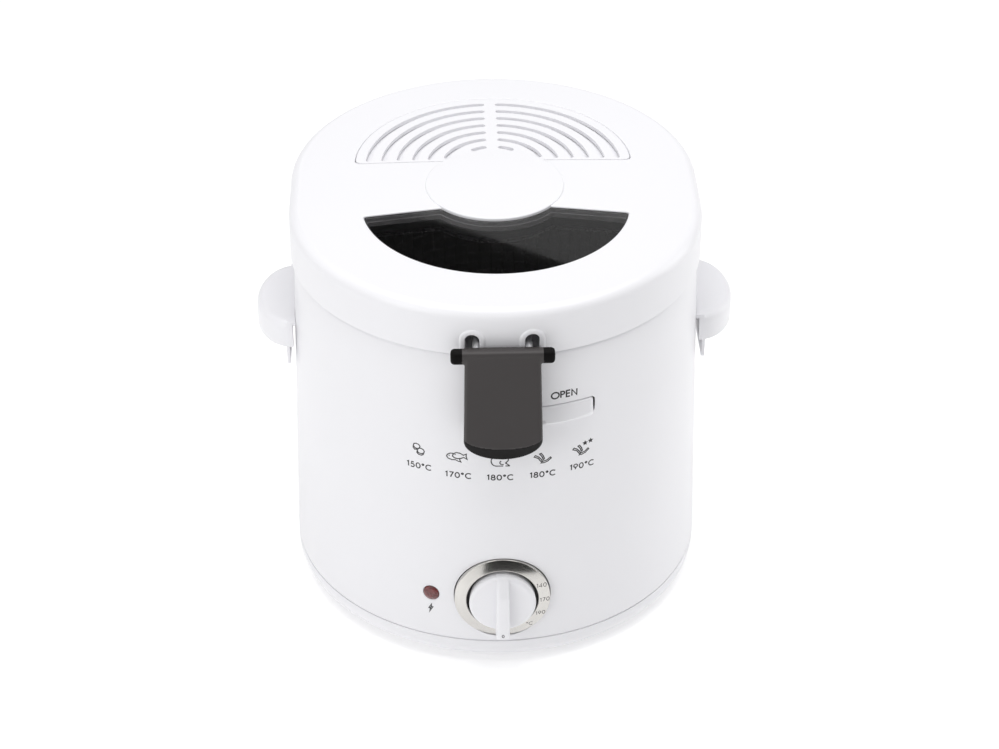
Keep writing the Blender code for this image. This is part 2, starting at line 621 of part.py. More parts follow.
def build_latch():
    """Bracket under the flange, rocking catch, its pin and the button's return spring."""
    low_y, high_y = -98.0 * MM, -96.0 * MM
    bracket = block("latch_bracket", (20 * MM, low_y, 148 * MM), (46 * MM, high_y, 187 * MM), CERAMIC)
    for index, (x_low, x_high) in enumerate(((21 * MM, 23.4 * MM), (34.6 * MM, 37 * MM))):
        join(bracket, block(f"cheek_{index}", (x_low, LATCH_PIVOT_Y - 4 * MM, 162 * MM),
                            (x_high, high_y - 0.5 * MM, 187 * MM)))
    cut(bracket, rod("pivot_bore", 1.9 * MM, (15 * MM, LATCH_PIVOT_Y, LATCH_PIVOT_Z),
                     (42 * MM, LATCH_PIVOT_Y, LATCH_PIVOT_Z)))
    rod("latch_pin", 1.5 * MM, (20.6 * MM, LATCH_PIVOT_Y, LATCH_PIVOT_Z),
        (37.4 * MM, LATCH_PIVOT_Y, LATCH_PIVOT_Z), STEEL, count=14)

    hub = rod("latch_catch", 3.6 * MM, (LATCH_X - 5 * MM, LATCH_PIVOT_Y, LATCH_PIVOT_Z),
              (LATCH_X + 5 * MM, LATCH_PIVOT_Y, LATCH_PIVOT_Z), WHITE, count=20)
    arm_front = LATCH_PIVOT_Y - 1.3 * MM
    join(hub, block("catch_lower", (LATCH_X - 3 * MM, arm_front, 152.4 * MM),
                    (LATCH_X + 3 * MM, arm_front + 2.0 * MM, LATCH_PIVOT_Z)))
    join(hub, block("catch_upper", (LATCH_X - 3 * MM, arm_front - 0.2 * MM, LATCH_PIVOT_Z),
                    (LATCH_X + 3 * MM, arm_front + 1.8 * MM, 184.4 * MM)))
    join(hub, block("catch_nose", (LATCH_X - 3 * MM, arm_front + 1.0 * MM, 181.4 * MM),
                    (LATCH_X + 3 * MM, -104.0 * MM, 184.4 * MM)))
    cut(hub, rod("catch_bore", 1.8 * MM, (15 * MM, LATCH_PIVOT_Y, LATCH_PIVOT_Z),
                 (42 * MM, LATCH_PIVOT_Y, LATCH_PIVOT_Z)))

    spring_start = Vector((40.4 * MM, -108.6 * MM + 1.0 * MM, 154 * MM))
    wire("button_spring", coil_points(spring_start, 3.0 * MM, 8.2 * MM, 4), 0.5 * MM, STEEL)


# ---- lid ----------------------------------------------------------------
def dome(name, drop=0.0, material=WHITE):
    """Open skin of the lid's top without its skirt, lowered by drop."""
    levels = lid_levels()[2:]
    rings = [ring(radius, z - drop, half) for radius, z, half in levels]
    return loft(name, rings, material, cap_last=True)


def lid_levels():
    """Radius, height and half straight of each ring from the skirt's edge to the top's middle."""
    levels = [(LID_RADIUS, LID_BOTTOM, HALF_STRAIGHT),
              (LID_RADIUS, LID_SHOULDER - 1.0 * MM, HALF_STRAIGHT),
              (LID_RADIUS - 1.4 * MM, LID_SHOULDER + 2.6 * MM, HALF_STRAIGHT),
              (LID_RADIUS - 5.4 * MM, LID_SHOULDER + 4.6 * MM, HALF_STRAIGHT)]
    for share in (0.75, 0.5, 0.25):
        radius = LID_RADIUS * share
        crown = (LID_TOP - LID_SHOULDER - 4.8 * MM) * (1.0 - share ** 2)
        levels.append((radius, LID_SHOULDER + 4.9 * MM + crown, HALF_STRAIGHT * share))
    return levels


def window_outline(inset=0.0):
    """Crescent between a large front arc, the raised disc and a rear edge that slopes in to it."""
    radius = WINDOW_RADIUS - inset
    inner = DISC_RADIUS + inset
    tip_angle = math.degrees(math.asin((WINDOW_TIP_Y - inset - WINDOW_CENTRE_Y) / radius))
    inner_angle = math.degrees(math.asin((WINDOW_INNER_Y - inset - DISC_CENTRE_Y) / inner))
    outline = arc((0.0, WINDOW_CENTRE_Y), radius, -180.0 - tip_angle, tip_angle, 20)
    outline += arc((0.0, DISC_CENTRE_Y), inner, inner_angle, -180.0 - inner_angle, 8)
    return outline


def half_disc(radius, chord):
    """Half-round plan outline behind a chord."""
    angle = math.degrees(math.asin((chord - VENT_CENTRE_Y) / radius))
    return arc((0.0, VENT_CENTRE_Y), radius, angle, 180.0 - angle, 22)


def slot_outlines():
    """Curved vent slots round the vent's centre, split by a middle rib and kept off the disc."""
    rib, above_chord = 2.9 * MM, 1.6 * MM
    keep_off = DISC_RADIUS + 2.2 * MM
    between = VENT_CENTRE_Y - DISC_CENTRE_Y
    outlines = []
    for index in range(SLOT_COUNT):
        radius = SLOT_FIRST + SLOT_PITCH * index
        disc_limit = (keep_off ** 2 - between ** 2 - radius ** 2) / (2.0 * between * radius)
        chord_limit = (VENT_CHORD_Y + above_chord - VENT_CENTRE_Y) / radius
        start = math.degrees(math.asin(max(chord_limit, disc_limit)))
        end = 90.0 - math.degrees(math.asin(rib / radius))
        count = 2 + index // 2
        inner, outer = radius - SLOT_WIDTH / 2, radius + SLOT_WIDTH / 2
        right = arc((0.0, VENT_CENTRE_Y), outer, start, end, count)
        right += arc((0.0, VENT_CENTRE_Y), inner, end, start, count)
        outlines.append(right)
        outlines.append([(-x, y) for x, y in reversed(right)])
    return outlines


def disc_ring(radius, z):
    """One level of the raised disc in the middle of the lid."""
    return [point + Vector((0.0, DISC_CENTRE_Y, 0.0)) for point in ring(radius, z, count=32)]


def disc_rod(name, clearance):
    """Upright cutter round the raised disc."""
    return rod(name, DISC_RADIUS + clearance, (0.0, DISC_CENTRE_Y, 200 * MM),
               (0.0, DISC_CENTRE_Y, 230 * MM), count=32)


def build_lid():
    """Lid moulding with its window, vent cover, filter, liner, seal and latch keeper."""
    rings = [ring(radius, z, half) for radius, z, half in lid_levels()]
    lid = thicken(loft("lid_shell", rings, WHITE, cap_last=True), WALL)
    pad_rings = [disc_ring(DISC_RADIUS, LID_TOP - 2 * MM), disc_ring(DISC_RADIUS, LID_TOP + 0.3 * MM),
                 disc_ring(DISC_RADIUS - 0.8 * MM, LID_TOP + 0.8 * MM)]
    pad = loft("disc_pad", pad_rings, WHITE, cap_first=True, cap_last=True)
    for index, (x, y) in enumerate(LINER_SCREWS):
        join(lid, rod(f"liner_boss_{index}", 4.0 * MM, (x, y, 205.2 * MM), (x, y, 214.6 * MM),
                      count=HOLE_COUNT))
        cut(lid, rod(f"liner_boss_bore_{index}", BOSS_BORE, (x, y, 200 * MM), (x, y, 212 * MM),
                     count=HOLE_COUNT))
    cut(lid, prism("window_hole", window_outline(), 150 * MM, 240 * MM))
    cut(lid, prism("vent_hole", half_disc(VENT_RADIUS, VENT_CHORD_Y), 205 * MM, 240 * MM))
    join(lid, pad)
    for side in (-1, 1):
        x = side * NOTCH_X
        cut(lid, block(f"notch_{side}", (x - NOTCH_HALF_WIDTH, -130 * MM, 180 * MM),
                       (x + NOTCH_HALF_WIDTH, -95 * MM, NOTCH_ARC_Z)))
        cut(lid, rod(f"notch_top_{side}", NOTCH_HALF_WIDTH, (x, -130 * MM, NOTCH_ARC_Z),
                     (x, -95 * MM, NOTCH_ARC_Z), count=16))
    for side in (-1, 1):
        cut(lid, rod(f"arm_bore_{side}", 1.8 * MM, (side * ARM_SCREW_X, 110 * MM, ARM_SCREW_Z),
                     (side * ARM_SCREW_X, 125 * MM, ARM_SCREW_Z), count=HOLE_COUNT))

    cover = thicken(dome("vent_cover", 0.25 * MM), 1.8 * MM)
    combine(cover, prism("vent_shape", half_disc(VENT_RADIUS - 0.35 * MM, VENT_CHORD_Y + 0.35 * MM),
                         205 * MM, 240 * MM), "INTERSECT")
    cut(cover, disc_rod("disc_clearance", 0.35 * MM))
    for index, outline in enumerate(slot_outlines()):
        cut(cover, prism(f"vent_slot_{index}", outline, 200 * MM, 235 * MM))

    pane = thicken(dome("window_pane", 1.0 * MM, GLAZING), 1.6 * MM)
    combine(pane, prism("window_shape", window_outline(0.35 * MM), 205 * MM, 240 * MM), "INTERSECT")

    liner = loft("lid_liner", [ring(LINER_RADIUS, z) for z in (203.4 * MM, 204.4 * MM)], STEEL,
                 cap_first=True, cap_last=True)
    cut(liner, prism("liner_window", window_outline(1.0 * MM), 195 * MM, 210 * MM))
    cut(liner, prism("liner_vent", half_disc(54 * MM, VENT_CENTRE_Y + 8 * MM), 195 * MM, 210 * MM))
    for index, (x, y) in enumerate(LINER_SCREWS):
        cut(liner, rod(f"liner_bore_{index}", 1.8 * MM, (x, y, 195 * MM), (x, y, 210 * MM), count=HOLE_COUNT))
        screw_part(f"liner_screw_{index + 1}", (x, y, 203.1 * MM), (0.0, 0.0, 1.0), 8 * MM, material=STEEL)

    pad_outline = half_disc(66 * MM, VENT_CENTRE_Y + 9 * MM)
    foam = loft("filter_pad", [[Vector((x, y, z)) for x, y in pad_outline] for z in (205.0 * MM, 211.6 * MM)],
                FILTER, cap_first=True, cap_last=True)
    cut(foam, disc_rod("filter_clearance", 3 * MM))

    seal_profile = [(91.6, 203.1), (94.4, 203.1), (94.4, 196.0), (95.2, 192.2), (93.2, 192.0), (91.6, 196.0)]
    seal = turned("lid_seal", [(r * MM, z * MM) for r, z in seal_profile], SILICONE, closed=True, steps=36)
    cut(seal, block("seal_gap", (-19 * MM, -110 * MM, 185 * MM), (19 * MM, -80 * MM, 210 * MM)))

    keeper = block("latch_keeper", (LATCH_X - 4 * MM, -101 * MM, 176.4 * MM),
                   (LATCH_X + 4 * MM, -98.6 * MM, 211.6 * MM), WHITE)
    join(keeper, block("keeper_nose", (LATCH_X - 4 * MM, -103.6 * MM, 176.4 * MM),
                       (LATCH_X + 4 * MM, -100 * MM, 179.6 * MM)))
    join(keeper, block("keeper_root", (LATCH_X - 8 * MM, -103 * MM, 209.6 * MM),
                       (LATCH_X + 8 * MM, -93 * MM, 211.6 * MM)))


# ---- hinge --------------------------------------------------------------
def build_hinge():
    """Rear hinge: bracket on the housing, knuckles on the lid, pin and opening spring."""
    lug_in, lug_out = 23.0 * MM, 29.0 * MM
    bracket = block("hinge_bracket", (-32 * MM, 100 * MM, 158 * MM), (32 * MM, 123.4 * MM, 181 * MM))
    for index, side in enumerate((-1, 1)):
        low_x, high_x = sorted((side * lug_in, side * lug_out))
        join(bracket, block(f"lug_web_{index}", (low_x, 112 * MM, 166 * MM), (high_x, HINGE_Y, HINGE_Z)))
        join(bracket, rod(f"lug_eye_{index}", HINGE_BARREL, (low_x, HINGE_Y, HINGE_Z),
                          (high_x, HINGE_Y, HINGE_Z), count=20))
    cut(bracket, wall_envelope("bracket_trim", GAP))
    cut(bracket, rod("bracket_pin_bore", PIN_BORE, (-50 * MM, HINGE_Y, HINGE_Z), (50 * MM, HINGE_Y, HINGE_Z),
                     count=16))
    for side in (-1, 1):
        x = side * BRACKET_SCREW_X
        cut(bracket, rod(f"bracket_screw_bore_{side}", BOSS_BORE, (x, 100 * MM, BRACKET_SCREW_Z),
                         (x, 122.6 * MM, BRACKET_SCREW_Z), count=HOLE_COUNT))
        label = "left" if side < 0 else "right"
        inside = -wall_front(x, BRACKET_SCREW_Z, WALL) - 0.8 * MM
        screw_part(f"bracket_screw_{label}", (x, inside, BRACKET_SCREW_Z), (0.0, 1.0, 0.0), 7 * MM)

    rod("hinge_pin", PIN_RADIUS, (-30.5 * MM, HINGE_Y, HINGE_Z), (30.5 * MM, HINGE_Y, HINGE_Z),
        STEEL, count=20)

    arm = block("lid_hinge_arm", (-22 * MM, 121.1 * MM, 191 * MM), (22 * MM, 124.6 * MM, 206 * MM))
    for index, (low_x, high_x) in enumerate(((-22 * MM, -9 * MM), (9 * MM, 22 * MM))):
        join(arm, block(f"knuckle_web_{index}", (low_x, 124 * MM, HINGE_Z),
                        (high_x, HINGE_Y + 2 * MM, 196 * MM)))
        join(arm, rod(f"knuckle_{index}", HINGE_BARREL, (low_x, HINGE_Y, HINGE_Z), (high_x, HINGE_Y, HINGE_Z),
                      count=20))
    cut(arm, rod("arm_pin_bore", PIN_BORE, (-50 * MM, HINGE_Y, HINGE_Z), (50 * MM, HINGE_Y, HINGE_Z),
                 count=20))
    for side in (-1, 1):
        x = side * ARM_SCREW_X
        cut(arm, rod(f"arm_screw_bore_{side}", BOSS_BORE, (x, 110 * MM, ARM_SCREW_Z),
                     (x, 123.8 * MM, ARM_SCREW_Z), count=HOLE_COUNT))
        label = "left" if side < 0 else "right"
        inside = HALF_STRAIGHT + math.sqrt((LID_RADIUS - WALL) ** 2 - x ** 2) - 0.8 * MM
        screw_part(f"hinge_screw_{label}", (x, inside, ARM_SCREW_Z), (0.0, 1.0, 0.0), 5.6 * MM)

    coil = []
    turns, per_turn = 5, 8
    for index in range(turns * per_turn + 1):
        angle = 2.0 * math.pi * index / per_turn
        x = -6.5 * MM + 13.0 * MM * index / (turns * per_turn)
        coil.append(Vector((x, HINGE_Y - 4.3 * MM * math.sin(angle), HINGE_Z - 4.3 * MM * math.cos(angle))))
    leg = Vector((coil[0].x, 124.6 * MM, 172 * MM))
    wire("lid_spring", [leg] + coil, 0.8 * MM, STEEL)


# ---- basket and grip ----------------------------------------------------
def build_basket():
    """Frying basket, its rim, its two lifting wires and the pivot of the grip."""
    profile = [(BASKET_RADIUS_BOTTOM - 8 * MM, BASKET_BOTTOM),
               (BASKET_RADIUS_BOTTOM - 2 * MM, BASKET_BOTTOM + 2 * MM),
               (BASKET_RADIUS_BOTTOM, BASKET_BOTTOM + 8 * MM), (BASKET_RADIUS, BASKET_TOP)]
    basket = loft("frying_basket", [ring(radius, z, count=36) for radius, z in profile], STEEL,
                  cap_first=True)
    thicken(basket, 0.6 * MM)
    rim = []
    for step in range(6):
        angle = 2.0 * math.pi * step / 6
        rim.append(((76.0 * MM + 1.8 * MM * math.sin(angle)), 178.2 * MM + 1.8 * MM * math.cos(angle)))
    turned("basket_rim", rim, STEEL, closed=True, steps=36)
    for label, side in (("left", -1), ("right", 1)):
        route = [(side * ARM_X, -78.5 * MM, 132 * MM), (side * ARM_X, -78.5 * MM, 196.5 * MM),
                 (side * ARM_X, -111 * MM, 198.6 * MM),
                 (side * ARM_X, -120 * MM, 195.4 * MM), (side * ARM_X, GRIP_AXIS_Y, GRIP_AXIS_Z),
                 (side * 24.2 * MM, GRIP_AXIS_Y, GRIP_AXIS_Z)]
        wire(f"basket_arm_{label}", bend(route, 6 * MM), WIRE_RADIUS, CHROME)


def tongue_outline(half_top, half_bottom, top, bottom, depth_at):
    """Rounded tongue seen from the front; depth_at gives Y at a height."""
    corner, steps = 13.0 * MM, 6
    points = []
    for step in range(steps + 1):
        angle = math.radians(90.0 * step / steps)
        x = half_bottom - corner + corner * math.cos(angle)
        z = bottom + corner * 0.82 - corner * 0.82 * math.sin(angle)
        sag = 1.0 * MM * (x / half_bottom) ** 2 * (step / steps)
        points.append((x, z + sag))
    right = [(half_top, top)] + points
    outline = right + [(-x, z) for x, z in reversed(right)]
    return [Vector((x, depth_at(z), z)) for x, z in outline]


def build_grip():
    """Folding grip: a pivot barrel with a broad tongue that ends in a thick rounded nose."""
    top, face_end, nose_end = 196.4 * MM, 147.6 * MM, 138.2 * MM
    back = -122.6 * MM

    def face(z):
        return -128.9 * MM - (138.0 - 128.9) * MM * (top - z) / (top - face_end)

    def edge(z):
        return face(z) + 4.6 * MM * min(1.0, (top - z) / (top - face_end))

    outlines = [tongue_outline(17.0 * MM, 17.9 * MM, top, nose_end + 1.2 * MM, lambda z: back),
                tongue_outline(17.9 * MM, 18.9 * MM, top, nose_end, lambda z: back - 1.2 * MM),
                tongue_outline(17.9 * MM, 18.9 * MM, top, nose_end, edge),
                tongue_outline(17.6 * MM, 18.6 * MM, top, face_end - 0.6 * MM, lambda z: face(z) + 0.9 * MM),
                tongue_outline(16.8 * MM, 17.8 * MM, top, face_end, face)]
    grip = loft("basket_grip", [list(reversed(outline)) for outline in outlines], BLACK,
                cap_first=True, cap_last=True)
    barrel = block("grip_barrel", (-25 * MM, GRIP_AXIS_Y - 3.5 * MM, GRIP_AXIS_Z - 3.6 * MM),
                   (25 * MM, GRIP_AXIS_Y + 2.9 * MM, GRIP_AXIS_Z + 3.4 * MM), BLACK)
    round_edges(barrel, 1.6 * MM, 3)
    join(grip, barrel)
    cut(grip, rod("grip_bore", 2.0 * MM, (-24.6 * MM, GRIP_AXIS_Y, GRIP_AXIS_Z),
                  (24.6 * MM, GRIP_AXIS_Y, GRIP_AXIS_Z), count=16))
    for side in (-1, 1):
        low_x, high_x = sorted((side * (ARM_X - 2.1 * MM), side * (ARM_X + 2.1 * MM)))
        cut(grip, block(f"grip_slot_{side}", (low_x, GRIP_AXIS_Y - 2.0 * MM, GRIP_AXIS_Z - 2.0 * MM),
                        (high_x, -115 * MM, 205 * MM)))


# ---- what moves ---------------------------------------------------------
def hang(label, pivot, names):
    """Parent the pieces of one moving body to an empty on its joint's axis."""
    empty = bpy.data.objects.new(label, None)
    empty.location = pivot
    parts.objects.link(empty)
    for name in names:
        piece = bpy.data.objects[name]
        piece.parent = empty
        piece.matrix_parent_inverse = Matrix.Translation(-Vector(pivot))


def hang_moving_pieces():
    """Lid, basket, grip, knob, button and catch, each on its own pivot."""
    hang("lid_pivot", (0.0, HINGE_Y, HINGE_Z),
         ["lid_shell", "vent_cover", "window_pane", "lid_liner", "liner_screw_1", "liner_screw_2",
          "filter_pad", "lid_seal", "latch_keeper", "lid_hinge_arm", "hinge_screw_left", "hinge_screw_right"])
    hang("basket_pivot", (0.0, 0.0, BASKET_BOTTOM),
         ["frying_basket", "basket_rim", "basket_arm_left", "basket_arm_right"])
    hang("grip_pivot", (0.0, GRIP_AXIS_Y, GRIP_AXIS_Z), ["basket_grip"])
    hang("dial_pivot", (0.0, DIAL_FACE_Y, DIAL_Z), ["dial_knob", "thermostat_shaft"])
    hang("button_pivot", (sum(BUTTON_X) / 2, LATCH_PIVOT_Y, sum(BUTTON_Z) / 2), ["open_button"])
    hang("catch_pivot", (LATCH_X, LATCH_PIVOT_Y, LATCH_PIVOT_Z), ["latch_catch", "latch_pin"])


build_housing()
build_base()
build_side_handle("right", 1)
build_side_handle("left", -1)
build_pot()
build_heater()
build_dial()
build_lamp()
build_wiring()
build_button()
build_latch()
build_lid()
build_hinge()
build_basket()
build_grip()
hang_moving_pieces()
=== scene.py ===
"""Compact deep fryer: the finished look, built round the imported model.

Metres, +Z up, front towards -Y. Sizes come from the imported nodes' boxes.
"""
import json
import math

import bmesh
import bpy
import numpy as np
from mathutils import Matrix, Vector


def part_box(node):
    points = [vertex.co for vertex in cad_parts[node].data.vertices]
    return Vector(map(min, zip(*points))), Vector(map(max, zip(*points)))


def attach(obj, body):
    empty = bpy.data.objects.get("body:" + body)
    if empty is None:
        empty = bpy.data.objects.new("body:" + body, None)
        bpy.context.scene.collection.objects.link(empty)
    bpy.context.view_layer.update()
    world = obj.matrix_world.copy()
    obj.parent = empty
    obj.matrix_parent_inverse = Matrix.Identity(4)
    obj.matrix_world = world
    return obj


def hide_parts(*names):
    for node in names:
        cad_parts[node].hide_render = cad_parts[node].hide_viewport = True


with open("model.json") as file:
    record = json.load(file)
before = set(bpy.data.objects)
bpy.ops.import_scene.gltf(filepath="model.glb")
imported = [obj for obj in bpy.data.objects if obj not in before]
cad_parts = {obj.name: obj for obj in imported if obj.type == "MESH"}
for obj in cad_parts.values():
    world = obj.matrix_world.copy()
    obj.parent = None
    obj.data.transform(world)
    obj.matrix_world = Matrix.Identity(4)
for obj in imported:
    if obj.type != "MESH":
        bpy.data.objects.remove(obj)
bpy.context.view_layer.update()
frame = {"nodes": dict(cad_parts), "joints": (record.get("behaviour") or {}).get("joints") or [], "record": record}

MM = 0.001
CAD_RING = 40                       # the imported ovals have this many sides
RING = 256                          # sides of the finished ovals
FINE = 96                           # sides of the finished small rounds
FORWARD = (0.0, -1.0, 0.0)
THROUGH = (150 * MM, 240 * MM)      # heights of cutters that pass right through the lid's top

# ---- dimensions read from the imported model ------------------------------
ring_reach = math.cos(math.pi / CAD_RING)
housing_low, housing_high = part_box("outer_housing")
lid_low, lid_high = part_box("lid_shell")
button_low, button_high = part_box("open_button")
bezel_low, bezel_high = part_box("dial_bezel")
knob_low, knob_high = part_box("dial_knob")
grip_low, grip_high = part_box("basket_grip")
lamp_low, lamp_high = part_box("lamp_lens")
pane_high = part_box("window_pane")[1]

HALF = lid_high.y - lid_high.x                       # half of the oval's straight side
LID_RADIUS = lid_high.x / ring_reach
LID_BOTTOM = lid_low.z
LID_TOP = lid_high.z                                 # top of the raised disc
HOUSING_TOP = housing_high.z
HOUSING_BOTTOM = housing_low.z
WALL = 2.4 * MM
GAP = 0.3 * MM


def node_points(node):
    """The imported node's vertices as an array."""
    mesh = frame["nodes"][node].data
    flat = np.empty(len(mesh.vertices) * 3)
    mesh.vertices.foreach_get("co", flat)
    return flat.reshape(-1, 3)


def reach(node, low, high):
    """Largest distance along X of the node's vertices between two heights."""
    points = node_points(node)
    band = points[(points[:, 2] >= low) & (points[:, 2] <= high)]
    return float(np.abs(band[:, 0]).max())


WALL_RADIUS_BOTTOM = reach("outer_housing", HOUSING_BOTTOM, HOUSING_BOTTOM + MM) / ring_reach
CROWN_Z = HOUSING_TOP - 2.4 * MM                     # where the wall starts to round in at its top
WALL_RADIUS_CROWN = reach("outer_housing", CROWN_Z - 0.2 * MM, CROWN_Z + 0.1 * MM) / ring_reach
NECK_RADIUS = 91.5 * MM

LID_SHOULDER = LID_TOP - 8.5 * MM                    # where the skirt starts to round over
DOME_RIM = LID_TOP - 2.6 * MM
DOME_RISE = 1.9 * MM

DISC_RADIUS = 35.6 * MM                             # raised disc in the middle of the lid
DISC_CENTRE_Y = -2.6 * MM
VENT_RADIUS = 72.2 * MM
VENT_CENTRE_Y = 20.2 * MM
VENT_CHORD_Y = 22.4 * MM
WINDOW_RADIUS = 68.0 * MM
WINDOW_CENTRE_Y = -19.2 * MM
WINDOW_TIP_Y = -31.2 * MM
WINDOW_INNER_Y = pane_high.y + 0.35 * MM
NOTCH_X = 14.4 * MM
NOTCH_HALF = 3.45 * MM
NOTCH_TOP = 202.35 * MM

DIAL = Vector((0.0, bezel_low.y, (bezel_low.z + bezel_high.z) / 2))
DIAL_RADIUS = (bezel_high.z - bezel_low.z) / 2
KNOB_RADIUS = (knob_high.x - knob_low.x) / 2
LAMP_X = -36.3 * MM
LAMP_Z = (lamp_low.z + lamp_high.z) / 2
GLAND_Z = sum(corner.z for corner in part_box("cord_gland")) / 2
GRIP_AXIS = Vector(next(j for j in frame["joints"] if j["name"] == "grip_fold")["pos_m"])


# ---- mesh helpers -------------------------------------------------------
def keep(mesh, angle=32.0):
    """Smooth shading with edges sharper than the angle kept crisp."""
    mesh.shade_smooth()
    mesh.set_sharp_from_angle(angle=math.radians(angle))
    return mesh


def loose(name, mesh):
    """An object in the scene that is not part of the fryer yet."""
    obj = bpy.data.objects.new(name, mesh)
    bpy.context.scene.collection.objects.link(obj)
    return obj


def piece(obj, material, body, slot, *nodes, angle=32.0):
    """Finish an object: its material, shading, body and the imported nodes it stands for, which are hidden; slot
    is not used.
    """
    obj.data.materials.clear()
    obj.data.materials.append(material)
    if obj.type == "MESH":
        keep(obj.data, angle)
    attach(obj, body)
    if nodes:
        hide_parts(*nodes)
    return obj


def from_bmesh(work, name):
    mesh = bpy.data.meshes.new(name)
    work.to_mesh(mesh)
    work.free()
    return mesh


def settle(obj):
    """Replace an object's mesh by what its modifiers make of it."""
    graph = bpy.context.evaluated_depsgraph_get()
    mesh = bpy.data.meshes.new_from_object(obj.evaluated_get(graph))
    obj.modifiers.clear()
    obj.data = mesh
    return obj


def boolean(obj, others, operation="DIFFERENCE"):
    """Cut, join or trim a mesh with others, which are used up."""
    for other in others:
        modifier = obj.modifiers.new("boolean", "BOOLEAN")
        modifier.operation = operation
        modifier.object = other
    settle(obj)
    for other in others:
        bpy.data.objects.remove(other, do_unlink=True)
    return obj


def bevel(obj, width, segments=3, angle=35.0):
    """Round the sharp edges and apply it."""
    modifier = obj.modifiers.new("bevel", "BEVEL")
    modifier.width = width
    modifier.segments = segments
    modifier.limit_method = "ANGLE"
    modifier.angle_limit = math.radians(angle)
    return settle(obj)


def solidify(obj, thickness):
    modifier = obj.modifiers.new("wall", "SOLIDIFY")
    modifier.thickness = thickness
    modifier.offset = -1.0
    modifier.use_even_offset = True
    return settle(obj)


def skin(name, rings, first=False, last=False, loop=True, wrap=False):
    """Mesh over equal rows of points. loop closes each row, wrap joins the last row to the first."""
    work = bmesh.new()
    rows = [[work.verts.new(point) for point in row] for row in rings]
    pairs = list(zip(rows, rows[1:]))
    if wrap:
        pairs.append((rows[-1], rows[0]))
    count = len(rows[0])
    for low, high in pairs:
        for index in range(count if loop else count - 1):
            follow = (index + 1) % count
            work.faces.new((low[index], low[follow], high[follow], high[index]))
    if first:
        work.faces.new(list(reversed(rows[0])))
    if last:
        work.faces.new(rows[-1])
    return loose(name, from_bmesh(work, name))


def oval(radius, z, half=HALF, count=RING):
    """Points round the oval plan, or round a circle where half is zero."""
    row = []
    for index in range(count):
        angle = 2.0 * math.pi * (index + 0.5) / count
        y = radius * math.sin(angle)
        row.append(Vector((radius * math.cos(angle), y + math.copysign(half, y), z)))
    return row


def eased(points, radii, steps=5):
    """A polyline with its inner corners rounded, each by its own radius."""
    points = [Vector(point) for point in points]
    if not hasattr(radii, "__len__"):
        radii = [radii] * len(points)
    route = [points[0]]
    for index in range(1, len(points) - 1):
        before, corner, after = points[index - 1:index + 2]
        size = min(radii[index], (before - corner).length * 0.49, (after - corner).length * 0.49)
        if size <= 0.0:
            route.append(corner)
            continue
        enter = corner + (before - corner).normalized() * size
        leave = corner + (after - corner).normalized() * size
        for step in range(steps + 1):
            t = step / steps
            route.append(enter * (1 - t) ** 2 + corner * 2 * t * (1 - t) + leave * t ** 2)
    route.append(points[-1])
    return route


def turned(name, profile, radii=0.0, centre=(0.0, 0.0, 0.0), axis=(0.0, 0.0, 1.0), count=FINE, closed=False):
    """Turn a profile of (radius, height) in millimetres; its corners are rounded by radii."""
    if closed:
        middle = (Vector(profile[0]) + Vector(profile[-1])) / 2
        profile = [middle] + list(profile) + [middle]
        radii = [0.0] + list(radii) + [0.0] if hasattr(radii, "__len__") else radii
    outline = eased([Vector((r, z)) for r, z in profile], radii)
    if closed:
        outline = outline[:-1]
    turn = Vector((0.0, 0.0, 1.0)).rotation_difference(Vector(axis))
    rings = []
    for r, z in outline:
        ring = [around(max(r, 0.01), 2.0 * math.pi * index / count, z) * MM for index in range(count)]
        rings.append([Vector(centre) + turn @ local for local in ring])
    return face_out(skin(name, rings, first=not closed, last=not closed, wrap=closed))


def reworked(obj, change):
    """Pass an object's mesh through change(work), where work is a bmesh."""
    work = bmesh.new()
    work.from_mesh(obj.data)
    change(work)
    work.to_mesh(obj.data)
    work.free()
    return obj


def face_out(obj):
    """Turn all faces outwards."""
    return reworked(obj, lambda work: bmesh.ops.recalc_face_normals(work, faces=work.faces))


def solid(name, rows):
    """A closed body over equal rows of points, with its faces outwards."""
    return face_out(skin(name, rows, first=True, last=True))


def block(name, outline, near, far):
    """A block along Y over an outline of (x, z)."""
    return solid(name, [[Vector((x, y, z)) for x, z in outline] for y in (near, far)])


def around(radius, angle, z):
    """A point at an angle round the Z axis."""
    return Vector((radius * math.cos(angle), radius * math.sin(angle), z))


def circle(radius, z, count):
    return [around(radius, 2 * math.pi * index / count, z) for index in range(count)]


def box(name, low, high):
    work = bmesh.new()
    bmesh.ops.create_cube(work, size=1.0)
    size = Vector(high) - Vector(low)
    bmesh.ops.scale(work, vec=size, verts=work.verts)
    bmesh.ops.translate(work, vec=(Vector(low) + Vector(high)) / 2, verts=work.verts)
    return loose(name, from_bmesh(work, name))


def rod(name, radius, start, end, count=48):
    start, end = Vector(start), Vector(end)
    work = bmesh.new()
    bmesh.ops.create_cone(work, cap_ends=True, segments=count, radius1=radius, radius2=radius,
                          depth=(end - start).length)
    turn = Vector((0.0, 0.0, 1.0)).rotation_difference(end - start).to_matrix().to_4x4()
    bmesh.ops.transform(work, matrix=Matrix.Translation((start + end) / 2) @ turn, verts=work.verts)
    return loose(name, from_bmesh(work, name))


def prism(name, outline, low, high):
    """A vertical block over an anticlockwise plan outline."""
    rows = [[Vector((x, y, z)) for x, y in outline] for z in (low, high)]
    return skin(name, rows, first=True, last=True)


def arc(centre, radius, first, last, count):
    """Plan points along an arc, angles in degrees."""
    points = []
    for index in range(count + 1):
        angle = math.radians(first + (last - first) * index / count)
        points.append((centre[0] + radius * math.cos(angle), centre[1] + radius * math.sin(angle)))
    return points


